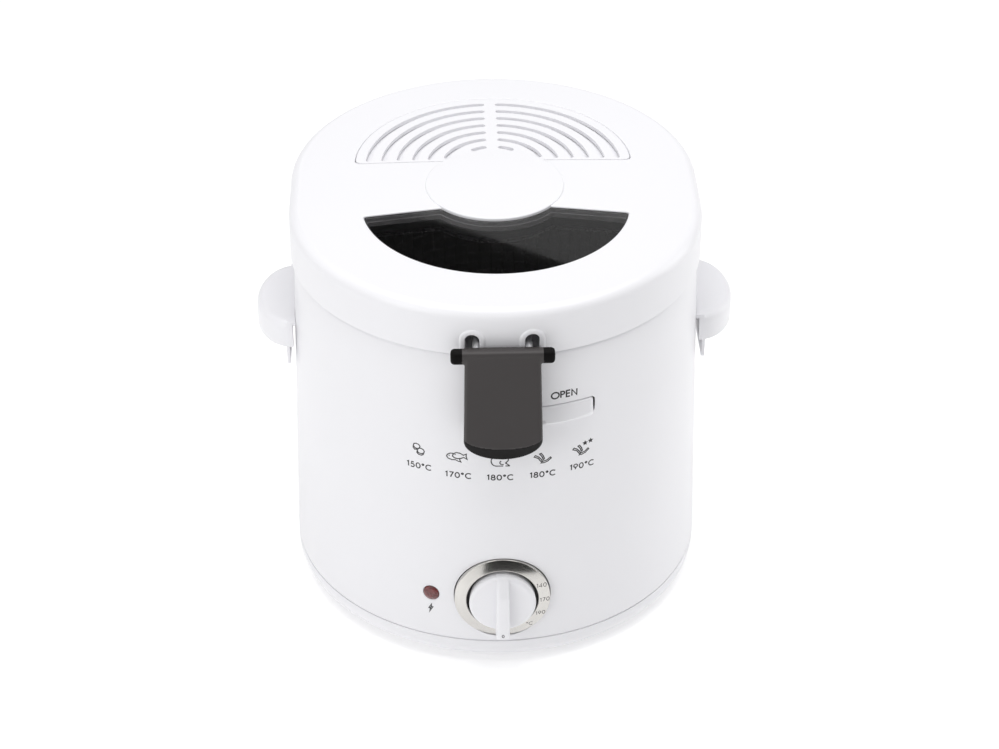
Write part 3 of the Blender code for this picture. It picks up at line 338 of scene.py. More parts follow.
def tube(name, route, radius, sides=12, closed=False):
    """A round bar along a route, as a mesh with a steady section."""
    route = [Vector(point) for point in route]
    rings = []
    normal = None
    for index, point in enumerate(route):
        before = route[index - 1] if index or closed else point
        after = route[(index + 1) % len(route)] if index + 1 < len(route) or closed else point
        along = (after - before).normalized()
        if normal is None:
            normal = along.orthogonal().normalized()
        normal = (normal - along * normal.dot(along)).normalized()
        side = along.cross(normal)
        ring = []
        for step in range(sides):
            angle = 2.0 * math.pi * step / sides
            ring.append(point + (normal * math.cos(angle) + side * math.sin(angle)) * radius)
        rings.append(ring)
    return skin(name, rings, first=not closed, last=not closed, wrap=closed)


def merged(name, objects):
    """One object out of several."""
    work = bmesh.new()
    for obj in objects:
        work.from_mesh(obj.data)
        bpy.data.objects.remove(obj, do_unlink=True)
    return loose(name, from_bmesh(work, name))


def mirrored(name, obj):
    """A copy on the other side of X = 0."""
    mesh = obj.data.copy()
    mesh.transform(Matrix.Scale(-1.0, 4, (1.0, 0.0, 0.0)))
    mesh.flip_normals()
    return loose(name, mesh)


# ---- shapes of the walls ------------------------------------------------
def wall_radius(z):
    """End radius of the tapered housing at a height."""
    share = (z - HOUSING_BOTTOM) / (CROWN_Z - HOUSING_BOTTOM)
    return WALL_RADIUS_BOTTOM + (WALL_RADIUS_CROWN - WALL_RADIUS_BOTTOM) * share


def on_wall(along, z, out=0.0, radius=None):
    """A point on the front of the wall: along is the distance round from the middle."""
    size = wall_radius(z) if radius is None else radius
    angle = along / size
    return Vector(((size + out) * math.sin(angle), -HALF - (size + out) * math.cos(angle), z))


def wall_front(x, z):
    return -HALF - math.sqrt(wall_radius(z) ** 2 - x ** 2)


def dome_share(x, y):
    """How far out a point is on the lid's dome, from 0 in the middle to 1 at the rim."""
    y = abs(y)
    if y <= HALF * abs(x) / LID_RADIUS:
        return abs(x) / LID_RADIUS
    a = LID_RADIUS ** 2 - HALF ** 2
    return (-y * HALF + math.sqrt((y * HALF) ** 2 + a * (x * x + y * y))) / a


def dome(x, y):
    """Height of the lid's top."""
    return DOME_RIM + DOME_RISE * (1.0 - dome_share(x, y) ** 2)


def gridded(obj, pitch):
    """Slice a mesh along X and Y so that it can follow the dome."""
    def slice_up(work):
        for axis in (0, 1):
            low = min(vert.co[axis] for vert in work.verts)
            high = max(vert.co[axis] for vert in work.verts)
            for index in range(math.floor(low / pitch) + 1, math.ceil(high / pitch)):
                plane = Vector((0.0, 0.0, 0.0))
                normal = Vector((0.0, 0.0, 0.0))
                plane[axis] = index * pitch
                normal[axis] = 1.0
                bmesh.ops.bisect_plane(work, geom=work.verts[:] + work.edges[:] + work.faces[:], dist=1e-7,
                                       plane_co=plane, plane_no=normal)

    return reworked(obj, slice_up)


def laid_on_dome(obj, flat, fade=None):
    """Move a flat mesh, drawn at the height flat, onto the dome."""
    for vert in obj.data.vertices:
        x, y, z = vert.co
        weight = 1.0 if fade is None else max(0.0, min(1.0, (z - fade) / (flat - fade)))
        vert.co.z = z + (dome(x, y) - flat) * weight
    return obj


def dome_normals(obj, limit=0.985):
    """Give the faces that lie along the dome the dome's own normals."""
    mesh = keep(obj.data, 40.0)
    normals = [Vector(corner.vector) for corner in mesh.corner_normals]
    step = 0.5 * MM
    for face in mesh.polygons:
        if abs(face.normal.z) < limit:
            continue
        sign = math.copysign(1.0, face.normal.z)
        for corner in face.loop_indices:
            x, y, _ = mesh.vertices[mesh.loops[corner].vertex_index].co
            slope_x = (dome(x + step, y) - dome(x - step, y)) / (2 * step)
            slope_y = (dome(x, y + step) - dome(x, y - step)) / (2 * step)
            normals[corner] = Vector((-slope_x, -slope_y, 1.0)).normalized() * sign
    mesh.normals_split_custom_set(normals)
    return obj


# ---- materials ----------------------------------------------------------
class Finish:
    """A Principled material with small nodes that vary its colour, roughness and surface."""

    def __init__(self, name, roughness=0.4, metallic=0.0, specular=0.5):
        self.mat = bpy.data.materials.new(name)
        self.mat.use_nodes = True
        self.nodes = self.mat.node_tree.nodes
        self.links = self.mat.node_tree.links
        self.shader = self.nodes["Principled BSDF"]
        self.shader.inputs["Roughness"].default_value = roughness
        self.shader.inputs["Metallic"].default_value = metallic
        self.shader.inputs["Specular IOR Level"].default_value = specular
        self.place = self.nodes.new("ShaderNodeTexCoord").outputs["Object"]
        self.height = None

    def add(self, kind, **values):
        node = self.nodes.new(kind)
        for key, value in values.items():
            if hasattr(node, key):
                setattr(node, key, value)
            else:
                node.inputs[key].default_value = value
        return node

    def stretched(self, scale):
        node = self.add("ShaderNodeMapping")
        node.inputs["Scale"].default_value = scale
        self.links.new(self.place, node.inputs["Vector"])
        return node.outputs["Vector"]

    def noise(self, scale, detail=3.0, stretch=None):
        node = self.add("ShaderNodeTexNoise", Scale=scale, Detail=detail)
        source = self.place if stretch is None else self.stretched(stretch)
        self.links.new(source, node.inputs["Vector"])
        return node.outputs["Fac"]

    def cells(self, scale):
        node = self.add("ShaderNodeTexVoronoi", Scale=scale)
        self.links.new(self.place, node.inputs["Vector"])
        return node.outputs["Distance"]

    def color(self, source, *stops):
        """Base colour from a value: stops are (position, (r, g, b))."""
        ramp = self.add("ShaderNodeValToRGB")
        elements = ramp.color_ramp.elements
        while len(elements) < len(stops):
            elements.new(0.5)
        for element, (position, value) in zip(elements, stops):
            element.position = position
            element.color = (*value, 1.0)
        self.links.new(source, ramp.inputs["Fac"])
        self.links.new(ramp.outputs["Color"], self.shader.inputs["Base Color"])
        return self

    def rough(self, source, low, high):
        """Roughness from a value, over the middle of its range."""
        node = self.add("ShaderNodeMapRange")
        for label, value in (("From Min", 0.3), ("From Max", 0.7), ("To Min", low), ("To Max", high)):
            node.inputs[label].default_value = value
        self.links.new(source, node.inputs["Value"])
        self.links.new(node.outputs["Result"], self.shader.inputs["Roughness"])
        return self

    def bump(self, source, strength, distance):
        node = self.add("ShaderNodeBump")
        node.inputs["Strength"].default_value = strength
        node.inputs["Distance"].default_value = distance
        self.links.new(source, node.inputs["Height"])
        if self.height is not None:
            self.links.new(self.height, node.inputs["Normal"])
        self.height = node.outputs["Normal"]
        self.links.new(self.height, self.shader.inputs["Normal"])
        return self


def tinted(color, amount):
    """The colour made darker or lighter by a share."""
    return tuple(min(1.0, part * amount) for part in color)


def plastic(name, color, rough, grain, depth, vary=0.012, specular=0.5):
    """Moulded plastic with a faint cloud in its colour and a fine skin."""
    made = Finish(name, rough, specular=specular)
    made.color(made.noise(9.0, 2.0), (0.3, tinted(color, 1.0 - vary)), (0.7, tinted(color, 1.0 + vary)))
    made.rough(made.noise(14.0, 2.0), rough - 0.03, rough + 0.03)
    made.bump(made.noise(grain, 2.0), 0.3, depth)
    return made.mat


def metal(name, color, rough, stretch=(1.0, 1.0, 1.0), scale=900.0):
    """Bare or plated metal; stretch draws its grain out along an axis."""
    made = Finish(name, rough, 1.0)
    made.color(made.noise(60.0, 4.0), (0.3, tinted(color, 0.92)), (0.7, tinted(color, 1.05)))
    made.rough(made.noise(scale / 4, 4.0, stretch), rough * 0.75, rough * 1.35)
    made.bump(made.noise(scale, 2.0, stretch), 0.25, 0.00001)
    return made.mat


def dial_metal():
    """Chromed dial ring with fine turned lines round its middle."""
    made = Finish("dial_chrome", 0.14, 1.0)
    offset = made.add("ShaderNodeVectorMath", operation="SUBTRACT")
    offset.inputs[1].default_value = (DIAL.x, 0.0, DIAL.z)
    made.links.new(made.place, offset.inputs[0])
    flat = made.add("ShaderNodeVectorMath", operation="MULTIPLY")
    flat.inputs[1].default_value = (1.0, 0.0, 1.0)
    made.links.new(offset.outputs["Vector"], flat.inputs[0])
    length = made.add("ShaderNodeVectorMath", operation="LENGTH")
    made.links.new(flat.outputs["Vector"], length.inputs[0])
    rings = made.add("ShaderNodeTexNoise", noise_dimensions="1D", Scale=6000.0, Detail=2.0)
    made.links.new(length.outputs["Value"], rings.inputs["W"])
    made.color(rings.outputs["Fac"], (0.35, (0.56, 0.545, 0.52)), (0.65, (0.66, 0.645, 0.62)))
    made.rough(rings.outputs["Fac"], 0.10, 0.22)
    made.bump(rings.outputs["Fac"], 0.12, 0.00001)
    return made.mat


def smoked_pane():
    """Clear window in a dark smoky plastic."""
    made = Finish("smoked_window", 0.03)
    made.color(made.noise(20.0), (0.35, (0.40, 0.395, 0.40)), (0.65, (0.43, 0.425, 0.43)))
    made.rough(made.noise(150.0, 4.0), 0.015, 0.05)
    made.shader.inputs["Transmission Weight"].default_value = 1.0
    made.shader.inputs["IOR"].default_value = 1.49
    return made.mat


def lamp_plastic():
    """Red lamp lens with small facets."""
    made = Finish("lamp_lens", 0.18)
    made.color(made.noise(500.0), (0.3, (0.09, 0.0108, 0.012)), (0.7, (0.168, 0.024, 0.024)))
    made.rough(made.noise(300.0), 0.14, 0.25)
    made.bump(made.cells(900.0), 0.8, 0.0003)
    made.shader.inputs["Coat Weight"].default_value = 0.5
    return made.mat


def coating():
    """Dark non-stick coat with light specks."""
    made = Finish("nonstick_coat", 0.34)
    made.color(made.noise(2500.0, 2.0), (0.52, (0.045, 0.045, 0.05)), (0.72, (0.12, 0.12, 0.125)))
    made.rough(made.noise(200.0), 0.28, 0.42)
    made.bump(made.noise(1400.0, 3.0), 0.3, 0.00004)
    return made.mat


def foam():
    """Open-celled filter foam."""
    made = Finish("filter_foam", 0.95)
    cells = made.cells(550.0)
    made.color(cells, (0.1, (0.012, 0.012, 0.012)), (0.6, (0.11, 0.11, 0.11)))
    made.bump(cells, 1.0, 0.0012)
    return made.mat


WHITE_COLOR = (0.845, 0.842, 0.868)
WHITE = plastic("white_plastic", WHITE_COLOR, 0.32, 1500.0, 0.000004, 0.006)
WHITE_MATT = plastic("white_plastic_inside", tinted(WHITE_COLOR, 0.97), 0.5, 1500.0, 0.00001)
GRIP = plastic("black_grip", (0.041, 0.036, 0.036), 0.55, 3000.0, 0.00006, 0.05)
# Near-black copy of the grip's plastic with almost no reflection: painted shade on the underside of the grip's
# nose, also used to make the ears at the barrel's ends darker.
GRIP_PAINTED_SHADE = plastic("black_grip_painted_shade", (0.006, 0.0055, 0.0055), 0.5, 3000.0, 0.00002, 0.05, specular=0.05)
WIRE = metal("arm_wire", (0.86, 0.86, 0.87), 0.42, scale=700.0)
BLACK = plastic("black_plastic", (0.03, 0.03, 0.031), 0.4, 2200.0, 0.00005, 0.1)
RUBBER = plastic("rubber", (0.035, 0.034, 0.034), 0.8, 1800.0, 0.00008, 0.15)
SILICONE = plastic("silicone", (0.52, 0.52, 0.50), 0.55, 1500.0, 0.00004, 0.04)
# Near-black plastic for the well under the window: painted shade, so the view through the pane reads dark.
WELL_PAINTED_SHADE = plastic("window_well_painted_shade", (0.03, 0.03, 0.033), 0.45, 1500.0, 0.00003, 0.05)
SEAT = plastic("window_seat", (0.86, 0.86, 0.87), 0.35, 1500.0, 0.00003, 0.05)
TERMINAL = plastic("terminal_plastic", (0.66, 0.63, 0.54), 0.5, 900.0, 0.00006, 0.06)
SLEEVE = plastic("wire_sleeve", (0.20, 0.08, 0.035), 0.42, 800.0, 0.00004, 0.06)
PRINT = plastic("print_black", (0.022, 0.021, 0.022), 0.45, 2000.0, 0.00001, 0.1)
CHROME = metal("chrome_wire", (0.78, 0.78, 0.79), 0.12, scale=700.0)
STEEL = metal("steel", (0.60, 0.60, 0.60), 0.28)
ALUMINIUM = metal("aluminium", (0.62, 0.62, 0.63), 0.38, (1.0, 0.05, 1.0), 800.0)
BRASS = metal("brass", (0.70, 0.50, 0.22), 0.3)
DIAL_CHROME = dial_metal()
PANE = smoked_pane()
LAMP = lamp_plastic()
COATING = coating()
FOAM = foam()

BY_SLOT = {
    "white_plastic": WHITE_MATT, "black_plastic": BLACK, "chrome": CHROME, "steel": STEEL,
    "aluminium": ALUMINIUM, "nonstick": COATING, "rubber": RUBBER, "silicone": SILICONE,
    "tinted_glazing": PANE, "lamp_red": LAMP, "filter_foam": FOAM, "terminal_plastic": TERMINAL,
    "brass": BRASS, "wire_insulation": SLEEVE,
}


def dress_packed_nodes():
    """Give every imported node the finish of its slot."""
    for part in frame["record"]["subparts"]:
        node = frame["nodes"][part["node"]]
        node.data.materials.clear()
        node.data.materials.append(BY_SLOT[part["material_slot"]])


# ---- housing ------------------------------------------------------------
def make_housing():
    """Tapered wall with its crown, top flange and the neck that holds the pot."""
    bottom_in = wall_radius(HOUSING_BOTTOM) - WALL
    crown_in = wall_radius(HOUSING_TOP) - WALL
    neck_out, neck_low = NECK_RADIUS + WALL, HOUSING_TOP - 6 * MM
    flange_low = HOUSING_TOP - WALL
    corners = [                     # radius, height, half of the straight side, rounding in mm
        (bottom_in, HOUSING_BOTTOM, HALF, 0.4), (bottom_in + WALL, HOUSING_BOTTOM, HALF, 0.7),
        (wall_radius(HOUSING_TOP), HOUSING_TOP, HALF, 2.4),
        (NECK_RADIUS, HOUSING_TOP, 0.0, 1.0), (NECK_RADIUS, neck_low, 0.0, 0.6),
        (neck_out, neck_low, 0.0, 0.6), (neck_out, flange_low, 0.0, 0.6),
        (crown_in, flange_low, HALF, 1.5), (bottom_in, HOUSING_BOTTOM + 2 * MM, HALF, 0.0),
    ]
    route = eased([corner[:3] for corner in corners], [corner[3] * MM for corner in corners])
    dense = []
    for first, second in zip(route, route[1:]):
        parts = 10 if (second - first).length > 100 * MM else 1
        dense += [first.lerp(second, step / parts) for step in range(parts)]
    dense.append(route[-1])
    wall = face_out(skin("housing_wall", [oval(r, z, half) for r, z, half in dense], wrap=True))
    boolean(wall, [
        rod("dial_opening", DIAL_RADIUS + GAP, (0.0, -140 * MM, DIAL.z), (0.0, -95 * MM, DIAL.z), FINE),
        rod("lamp_opening", 4.45 * MM, lamp_point(-10 * MM), lamp_point(14 * MM)),
        rod("gland_opening", 6.4 * MM, (0.0, 100 * MM, GLAND_Z), (0.0, 140 * MM, GLAND_Z)),
        button_opening(),
        box("keeper_slot", (23 * MM, -106 * MM, 180 * MM), (35 * MM, -96.5 * MM, 200 * MM)),
    ])
    piece(wall, WHITE, "housing", "white_plastic", "outer_housing", angle=28.0)


def lamp_point(depth):
    """A point on the lamp's axis, this far inside the wall's outer face."""
    y = wall_front(LAMP_X, LAMP_Z)
    outward = Vector((LAMP_X, y + HALF, 0.0)).normalized()
    return Vector((LAMP_X, y, LAMP_Z)) - outward * depth


def rounded_rectangle(low, high, radius, count=8):
    """Anticlockwise outline of a rectangle with round corners."""
    left, right, bottom, top = low[0] + radius, high[0] - radius, low[1] + radius, high[1] - radius
    outline = []
    for quarter, middle in enumerate(((right, top), (left, top), (left, bottom), (right, bottom))):
        outline += arc(middle, radius, 90.0 * quarter, 90.0 * quarter + 90.0, count)
    return outline


def button_opening():
    """The hole that the release button sits in, a little longer than the button at its free end."""
    outline = rounded_rectangle((button_low.x - 0.3 * MM, button_low.z - 0.3 * MM),
                                (button_high.x + 1.0 * MM, button_high.z + 0.5 * MM), 2.2 * MM)
    return block("button_opening", outline, -95 * MM, -135 * MM)


def make_base():
    """Base tray below the wall, with its vents, rim and feet."""
    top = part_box("base_cover")[1].z / MM
    corners = [                     # radius, height and rounding, mm
        (0.5, 3.0, 0.0), (98.5, 3.0, 2.5), (105.2, 4.2, 3.0), (108.3, 9.5, 5.0), (108.3, top + 0.15, 0.4),
        (107.55, top + 0.15, 0.15), (107.55, top + 0.5, 0.1), (106.3, top + 0.5, 0.3), (106.3, 9.8, 3.0),
        (103.5, 6.0, 2.0), (97.5, 5.0, 1.0), (0.5, 5.0, 0.0),
    ]
    route = eased([corner[:2] for corner in corners], [corner[2] for corner in corners])
    middle_round = 40.0             # inside this radius the ovals turn into circles, mm
    tray = solid("base_tray", [oval(r * MM, z * MM, HALF if r > middle_round else HALF * r / middle_round)
                               for r, z in route])
    vents = []
    for index in range(-2, 3):
        x, half_width, half_length = index * 14 * MM, 1.8 * MM, 22 * MM
        outline = rounded_rectangle((x - half_width, -half_length), (x + half_width, half_length), 1.79 * MM)
        vents.append(prism(f"vent_{index}", outline, 0.0, 8 * MM))
    boolean(tray, vents)
    piece(tray, WHITE, "housing", "white_plastic", "base_cover")
    for name in ("foot_front_left", "foot_front_right", "foot_rear_left", "foot_rear_right"):
        low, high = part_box(name)
        middle = (low + high) / 2
        radius = (high.x - low.x) / 2 / MM
        profile = [(0.0, 2.7), (radius, 2.7), (radius, 0.9), (radius - 0.8, 0.0), (6.2, 0.0), (5.6, 0.5),
                   (4.4, 0.5), (3.8, 0.0), (0.0, 0.0)]
        rounding = [0, 0.2, 0.3, 0.3, 0.2, 0.2, 0.2, 0.2, 0]
        foot = turned(name + "_pad", profile, rounding, (middle.x, middle.y, 0.0))
        piece(foot, RUBBER, "housing", "rubber", name)


HANDLE_ROOT = 105.4 * MM            # where the shelf starts, inside the wall
HANDLE_SKIRT = 137.8 * MM           # lower edge of the shelf's rim


def make_side_handles():
    """Half-round carrying shelves, each with a turned-down rim and a plate that stands off the wall."""
    low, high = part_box("side_handle_right")
    width, top = high.y, high.z
    reach_out = high.x - HANDLE_ROOT
    profile = eased([(0.0, HANDLE_SKIRT, 0.0), (0.0, top, 0.0), (14 * MM, top, 0.0)], [0.0, 4.8 * MM, 0.0], 8)
    rows = []
    for inset, z, _ in profile[:-1]:
        row = []
        for step in range(49):
            angle = math.radians(-90.0 + 180.0 * step / 48)
            row.append(Vector((HANDLE_ROOT + (reach_out - inset) * math.cos(angle),
                               (width - inset) * math.sin(angle), z)))
        rows.append(row)
    shelf = solidify(skin("side_shelf", rows, last=True, loop=False), 2.0 * MM)
    face_out(shelf)
    outline = rounded_rectangle((-width + 0.6 * MM, low.z), (width - 0.6 * MM, top - 0.6 * MM), 2.5 * MM)
    plate = solid("plate", [[Vector((x, y, z)) for y, z in outline] for x in (107.4 * MM, 108.9 * MM)])
    apron = box("apron", (102 * MM, -width + 1.2 * MM, top - 2.2 * MM),
                (108 * MM, width - 1.2 * MM, top - 0.12 * MM))
    bosses = [rod(f"boss_{y}", 4.2 * MM, (103 * MM, y * MM, 144.5 * MM), (108 * MM, y * MM, 144.5 * MM))
              for y in (-11, 11)]
    boolean(shelf, [plate, apron] + bosses, "UNION")
    boolean(shelf, [skin("wall_shape", [oval(wall_radius(z) + 0.15 * MM, z) for z in (100 * MM, 170 * MM)],
                         first=True, last=True)])
    bevel(shelf, 0.45 * MM, 3, 40.0)
    other = mirrored("side_shelf_left", shelf)
    piece(shelf, WHITE, "housing", "white_plastic", "side_handle_right")
    piece(other, WHITE, "housing", "white_plastic", "side_handle_left")


# ---- lid ----------------------------------------------------------------
def window_outline(inset=0.0, corner=3.4 * MM):
    """Crescent between a large front arc, the raised disc and a rear edge that slopes in to it."""
    radius = WINDOW_RADIUS - inset
    inner = DISC_RADIUS + inset
    tip_angle = math.degrees(math.asin((WINDOW_TIP_Y - inset - WINDOW_CENTRE_Y) / radius))
    inner_angle = math.degrees(math.asin((WINDOW_INNER_Y - inset - DISC_CENTRE_Y) / inner))
    front = arc((0.0, WINDOW_CENTRE_Y), radius, -180.0 - tip_angle, tip_angle, 72)
    back = arc((0.0, DISC_CENTRE_Y), inner, inner_angle, -180.0 - inner_angle, 32)
    return eased_loop(front + back, {0: corner, 72: corner, 73: 1.2 * MM, 105: 1.2 * MM})


def walked(points, index, way, size):
    """Follow a closed outline from a numbered point: the points passed, and the place reached."""
    here = Vector(points[index])
    passed = 0
    while True:
        follow = Vector(points[(index + way * (passed + 1)) % len(points)])
        span = (follow - here).length
        if span >= size:
            return passed, here.lerp(follow, size / span)
        size -= span
        here = follow
        passed += 1


def eased_loop(points, corners, steps=8):
    """A closed outline with numbered corners rounded, each over its own length."""
    skipped = set()
    curves = {}
    for index, size in corners.items():
        back, enter = walked(points, index, -1, size)
        ahead, leave = walked(points, index, 1, size)
        curves[index] = eased([enter, Vector(points[index]), leave], max(size, 1e-9) * 10, steps)
        skipped.update((index + shift) % len(points) for shift in range(-back, ahead + 1))
    made = []
    for index, point in enumerate(points):
        if index in curves:
            made += curves[index]
        elif index not in skipped:
            made.append(Vector(point))
    return made


def evenly(points, count):
    """The same closed outline with a set number of points, evenly spaced."""
    points = [Vector(point) for point in points]
    lengths = [(second - first).length for first, second in zip(points, points[1:] + points[:1])]
    total = sum(lengths)
    made = []
    index = 0
    travelled = 0.0
    for step in range(count):
        target = total * step / count
        while travelled + lengths[index] < target:
            travelled += lengths[index]
            index += 1
        share = (target - travelled) / lengths[index]
        made.append(points[index].lerp(points[(index + 1) % len(points)], share))
    return made


def half_disc(radius, chord, corner=9.0 * MM):
    """Half-round plan outline behind a chord, with eased corners."""
    angle = math.degrees(math.asin((chord - VENT_CENTRE_Y) / radius))
    points = arc((0.0, VENT_CENTRE_Y), radius, angle, 180.0 - angle, 96)
    return eased_loop(points, {0: corner, 96: corner})


def slot_outlines():
    """Curved vent slots round the vent's centre, with round ends, split by a middle rib."""
    first, pitch, width, rib = 17.0 * MM, 8.0 * MM, 3.0 * MM, 4.4 * MM
    keep_off = DISC_RADIUS + 2.4 * MM
    between = VENT_CENTRE_Y - DISC_CENTRE_Y
    outlines = []
    for index in range(7):
        radius = first + pitch * index
        disc_limit = (keep_off ** 2 - between ** 2 - radius ** 2) / (2.0 * between * radius)
        chord_limit = (VENT_CHORD_Y + 3.4 * MM - VENT_CENTRE_Y) / radius
        start = math.degrees(math.asin(max(chord_limit, disc_limit)))
        end = 90.0 - math.degrees(math.asin(rib / radius))
        count = 6 + 4 * index
        right = arc((0.0, VENT_CENTRE_Y), radius + width / 2, start, end, count)
        right += round_end(radius, end, width / 2, 1)
        right += arc((0.0, VENT_CENTRE_Y), radius - width / 2, end, start, count)
        right += round_end(radius, start, width / 2, -1)
        outlines.append(right)
        outlines.append([(-x, y) for x, y in reversed(right)])
    return outlines


def round_end(radius, angle, half_width, way):
    """The inner points of the half circle that ends a slot."""
    angle = math.radians(angle)
    centre = (radius * math.cos(angle), VENT_CENTRE_Y + radius * math.sin(angle))
    start = math.degrees(angle) + (0.0 if way > 0 else 180.0)
    return arc(centre, half_width, start, start + 180.0, 8)[1:-1]


def bevel_edges(obj, chosen, width, segments):
    """Round the edges that a test picks."""
    def round_off(work):
        edges = [edge for edge in work.edges if chosen(edge)]
        bmesh.ops.bevel(work, geom=edges, offset=width, segments=segments, profile=0.5, affect="EDGES",
                        clamp_overlap=True)

    return reworked(obj, round_off)


def make_lid():
    """Lid moulding: skirt with two notches, rounded shoulder and a shallow dome with two openings."""
    flat = DOME_RIM + 0.2 * MM
    shell = prism_oval("lid_moulding", LID_RADIUS, LID_BOTTOM, flat)
    inner = prism_oval("lid_hollow", LID_RADIUS - WALL, LID_BOTTOM - 10 * MM, flat - WALL)
    window = prism("window_hole", window_outline(), *THROUGH)
    vent = prism("vent_hole", half_disc(VENT_RADIUS, VENT_CHORD_Y), *THROUGH)
    boolean(shell, [inner, window, vent])

    def shares(edge):
        """Where the ends of an edge of the flat top lie on the dome, or nothing for other edges."""
        if all(vert.co.z > flat - 1e-6 for vert in edge.verts):
            return [dome_share(vert.co.x, vert.co.y) for vert in edge.verts]
        return []

    def shoulder(edge):
        ends = shares(edge)
        return bool(ends) and min(ends) > 0.99

    def rim(edge):
        ends = shares(edge)
        inside = bool(ends) and max(ends) < 0.93
        return inside and len(edge.link_faces) == 2 and edge.calc_face_angle(0.0) > 0.5

    bevel_edges(shell, rim, 0.55 * MM, 3)
    bevel_edges(shell, shoulder, 5.6 * MM, 10)
    notches = []
    for side in (-1, 1):
        x = side * NOTCH_X
        z = NOTCH_TOP - NOTCH_HALF
        outline = [(x - NOTCH_HALF, 180 * MM), (x + NOTCH_HALF, 180 * MM)]
        outline += arc((x, z), NOTCH_HALF, 0.0, 180.0, 24)
        notches.append(block(f"notch_{side}", outline, -90 * MM, -130 * MM))
    boolean(shell, notches)
    gridded(shell, 6.0 * MM)
    laid_on_dome(shell, flat, LID_SHOULDER)
    piece(shell, WHITE, "lid", "white_plastic", "lid_shell")
    dome_normals(shell)

    top, radius = LID_TOP / MM, DISC_RADIUS / MM
    profile = [(0.0, top), (radius, top - 0.05), (radius, top - 5.5), (0.0, top - 5.5)]
    disc = turned("lid_disc", profile, [0, 0.9, 0, 0], (0.0, DISC_CENTRE_Y, 0.0), count=160)
    piece(disc, WHITE, "lid", "white_plastic")
    for label, side in (("left", -1), ("right", 1)):
        band = notch_rim(f"notch_rim_{label}", side * NOTCH_X)
        piece(band, WHITE, "lid", "white_plastic", angle=50.0)


def notch_rim(name, x):
    """Raised flat band with soft edges round a notch in the lid's skirt."""
    centre_z = NOTCH_TOP - NOTCH_HALF
    section = [(0.0, -0.6), (0.0, 0.25), (0.45, 0.7), (2.0, 0.7), (2.9, 0.1), (2.9, -0.6)]
    section = eased([Vector(point) for point in section], [0.0, 0.3, 0.3, 0.6, 0.3, 0.0], 4)
    stations = [(180.0, 191.0 * MM), (180.0, 195.0 * MM)]
    stations += [(180.0 - 180.0 * step / 32, centre_z) for step in range(33)]
    stations += [(0.0, 195.0 * MM), (0.0, 191.0 * MM)]
    rows = []
    for angle, z in stations:
        row = []
        for beyond, out in section:
            radius = NOTCH_HALF + beyond * MM
            px = x + radius * math.cos(math.radians(angle))
            pz = z + radius * math.sin(math.radians(angle))
            turn = math.asin(px / LID_RADIUS)
            reached = LID_RADIUS + out * MM
            row.append(Vector((reached * math.sin(turn), -HALF - reached * math.cos(turn), pz)))
        rows.append(row)
    return solid(name, rows)


def prism_oval(name, radius, low, high):
    return skin(name, [oval(radius, z) for z in (low, high)], first=True, last=True)


def disc_space(overlap):
    """Upright block under the raised disc, this much smaller than it."""
    bottom, top = ((0.0, DISC_CENTRE_Y, z) for z in THROUGH)
    return rod("disc_space", DISC_RADIUS - overlap, bottom, top, 160)


def make_vent():
    """Vent cover with curved slots, over a tray that keeps the filter out of sight."""
    top = DOME_RIM - 0.1 * MM
    outline = half_disc(VENT_RADIUS - 0.4 * MM, VENT_CHORD_Y + 0.4 * MM)
    cover = prism("vent_grille", outline, top - 2.0 * MM, top)
    slots = [prism(f"slot_{index}", shape, *THROUGH) for index, shape in enumerate(slot_outlines())]
    boolean(cover, slots + [disc_space(0.5 * MM)])
    bevel_edges(cover, lambda edge: all(vert.co.z > top - 1e-6 for vert in edge.verts)
                and edge.calc_face_angle(0.0) > 0.5, 0.5 * MM, 3)
    gridded(cover, 6.0 * MM)
    laid_on_dome(cover, top + 0.1 * MM)
    piece(cover, WHITE, "lid", "white_plastic", "vent_cover")
    dome_normals(cover)

    outline = half_disc(VENT_RADIUS + 1.0 * MM, VENT_CHORD_Y - 1.0 * MM)
    tray = prism("vent_tray", outline, top - 3.4 * MM, top - 2.6 * MM)
    boolean(tray, [disc_space(1.0 * MM)])
    gridded(tray, 12.0 * MM)
    laid_on_dome(tray, top)
    piece(tray, WHITE, "lid", "white_plastic")


def make_window():
    """Smoked pane, the stepped seat that it rests on and the well below, coloured near-black as painted shade."""
    top = DOME_RIM - 0.5 * MM
    pane = prism("window_glazing", window_outline(0.3 * MM), top - 1.6 * MM, top)
    bevel_edges(pane, lambda edge: edge.calc_face_angle(0.0) > 0.5
                and abs(edge.verts[0].co.z - edge.verts[1].co.z) < 1e-6, 0.25 * MM, 2)
    gridded(pane, 8.0 * MM)
    laid_on_dome(pane, DOME_RIM)
    piece(pane, PANE, "lid", "tinted_glazing", "window_pane")
    dome_normals(pane)

    seat = top - 1.65 * MM
    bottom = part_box("lid_liner")[1].z + 0.3 * MM
    steps = ((-1.6, seat), (0.5, seat), (0.6, seat - 2.0 * MM), (1.2, seat - 2.1 * MM),
             (1.3, seat - 4.4 * MM), (-1.6, seat - 4.4 * MM))
    window_wall("window_seat", steps, SEAT)
    steps = ((-1.6, seat - 4.45 * MM), (1.9, seat - 4.45 * MM), (2.1, bottom), (-1.6, bottom))
    # The well is near-black: painted shade for the dark inside of the lid.
    window_wall("window_well", steps, WELL_PAINTED_SHADE)


def window_wall(name, steps, material):
    """A band round the window's opening: steps are (inset in mm, height)."""
    rows = []
    for inset, z in steps:
        outline = evenly(window_outline(inset * MM), 260)
        rows.append([Vector((x, y, z + dome(x, y) - DOME_RIM)) for x, y in outline])
    band = face_out(skin(name, rows, wrap=True))
    piece(band, material, "lid", "black_plastic", angle=40.0)


# ---- front controls -----------------------------------------------------
BEZEL_INNER = 18.4 * MM
BEZEL_FALL = 1.8 * MM               # how far the cone falls back from its inner edge to its rim


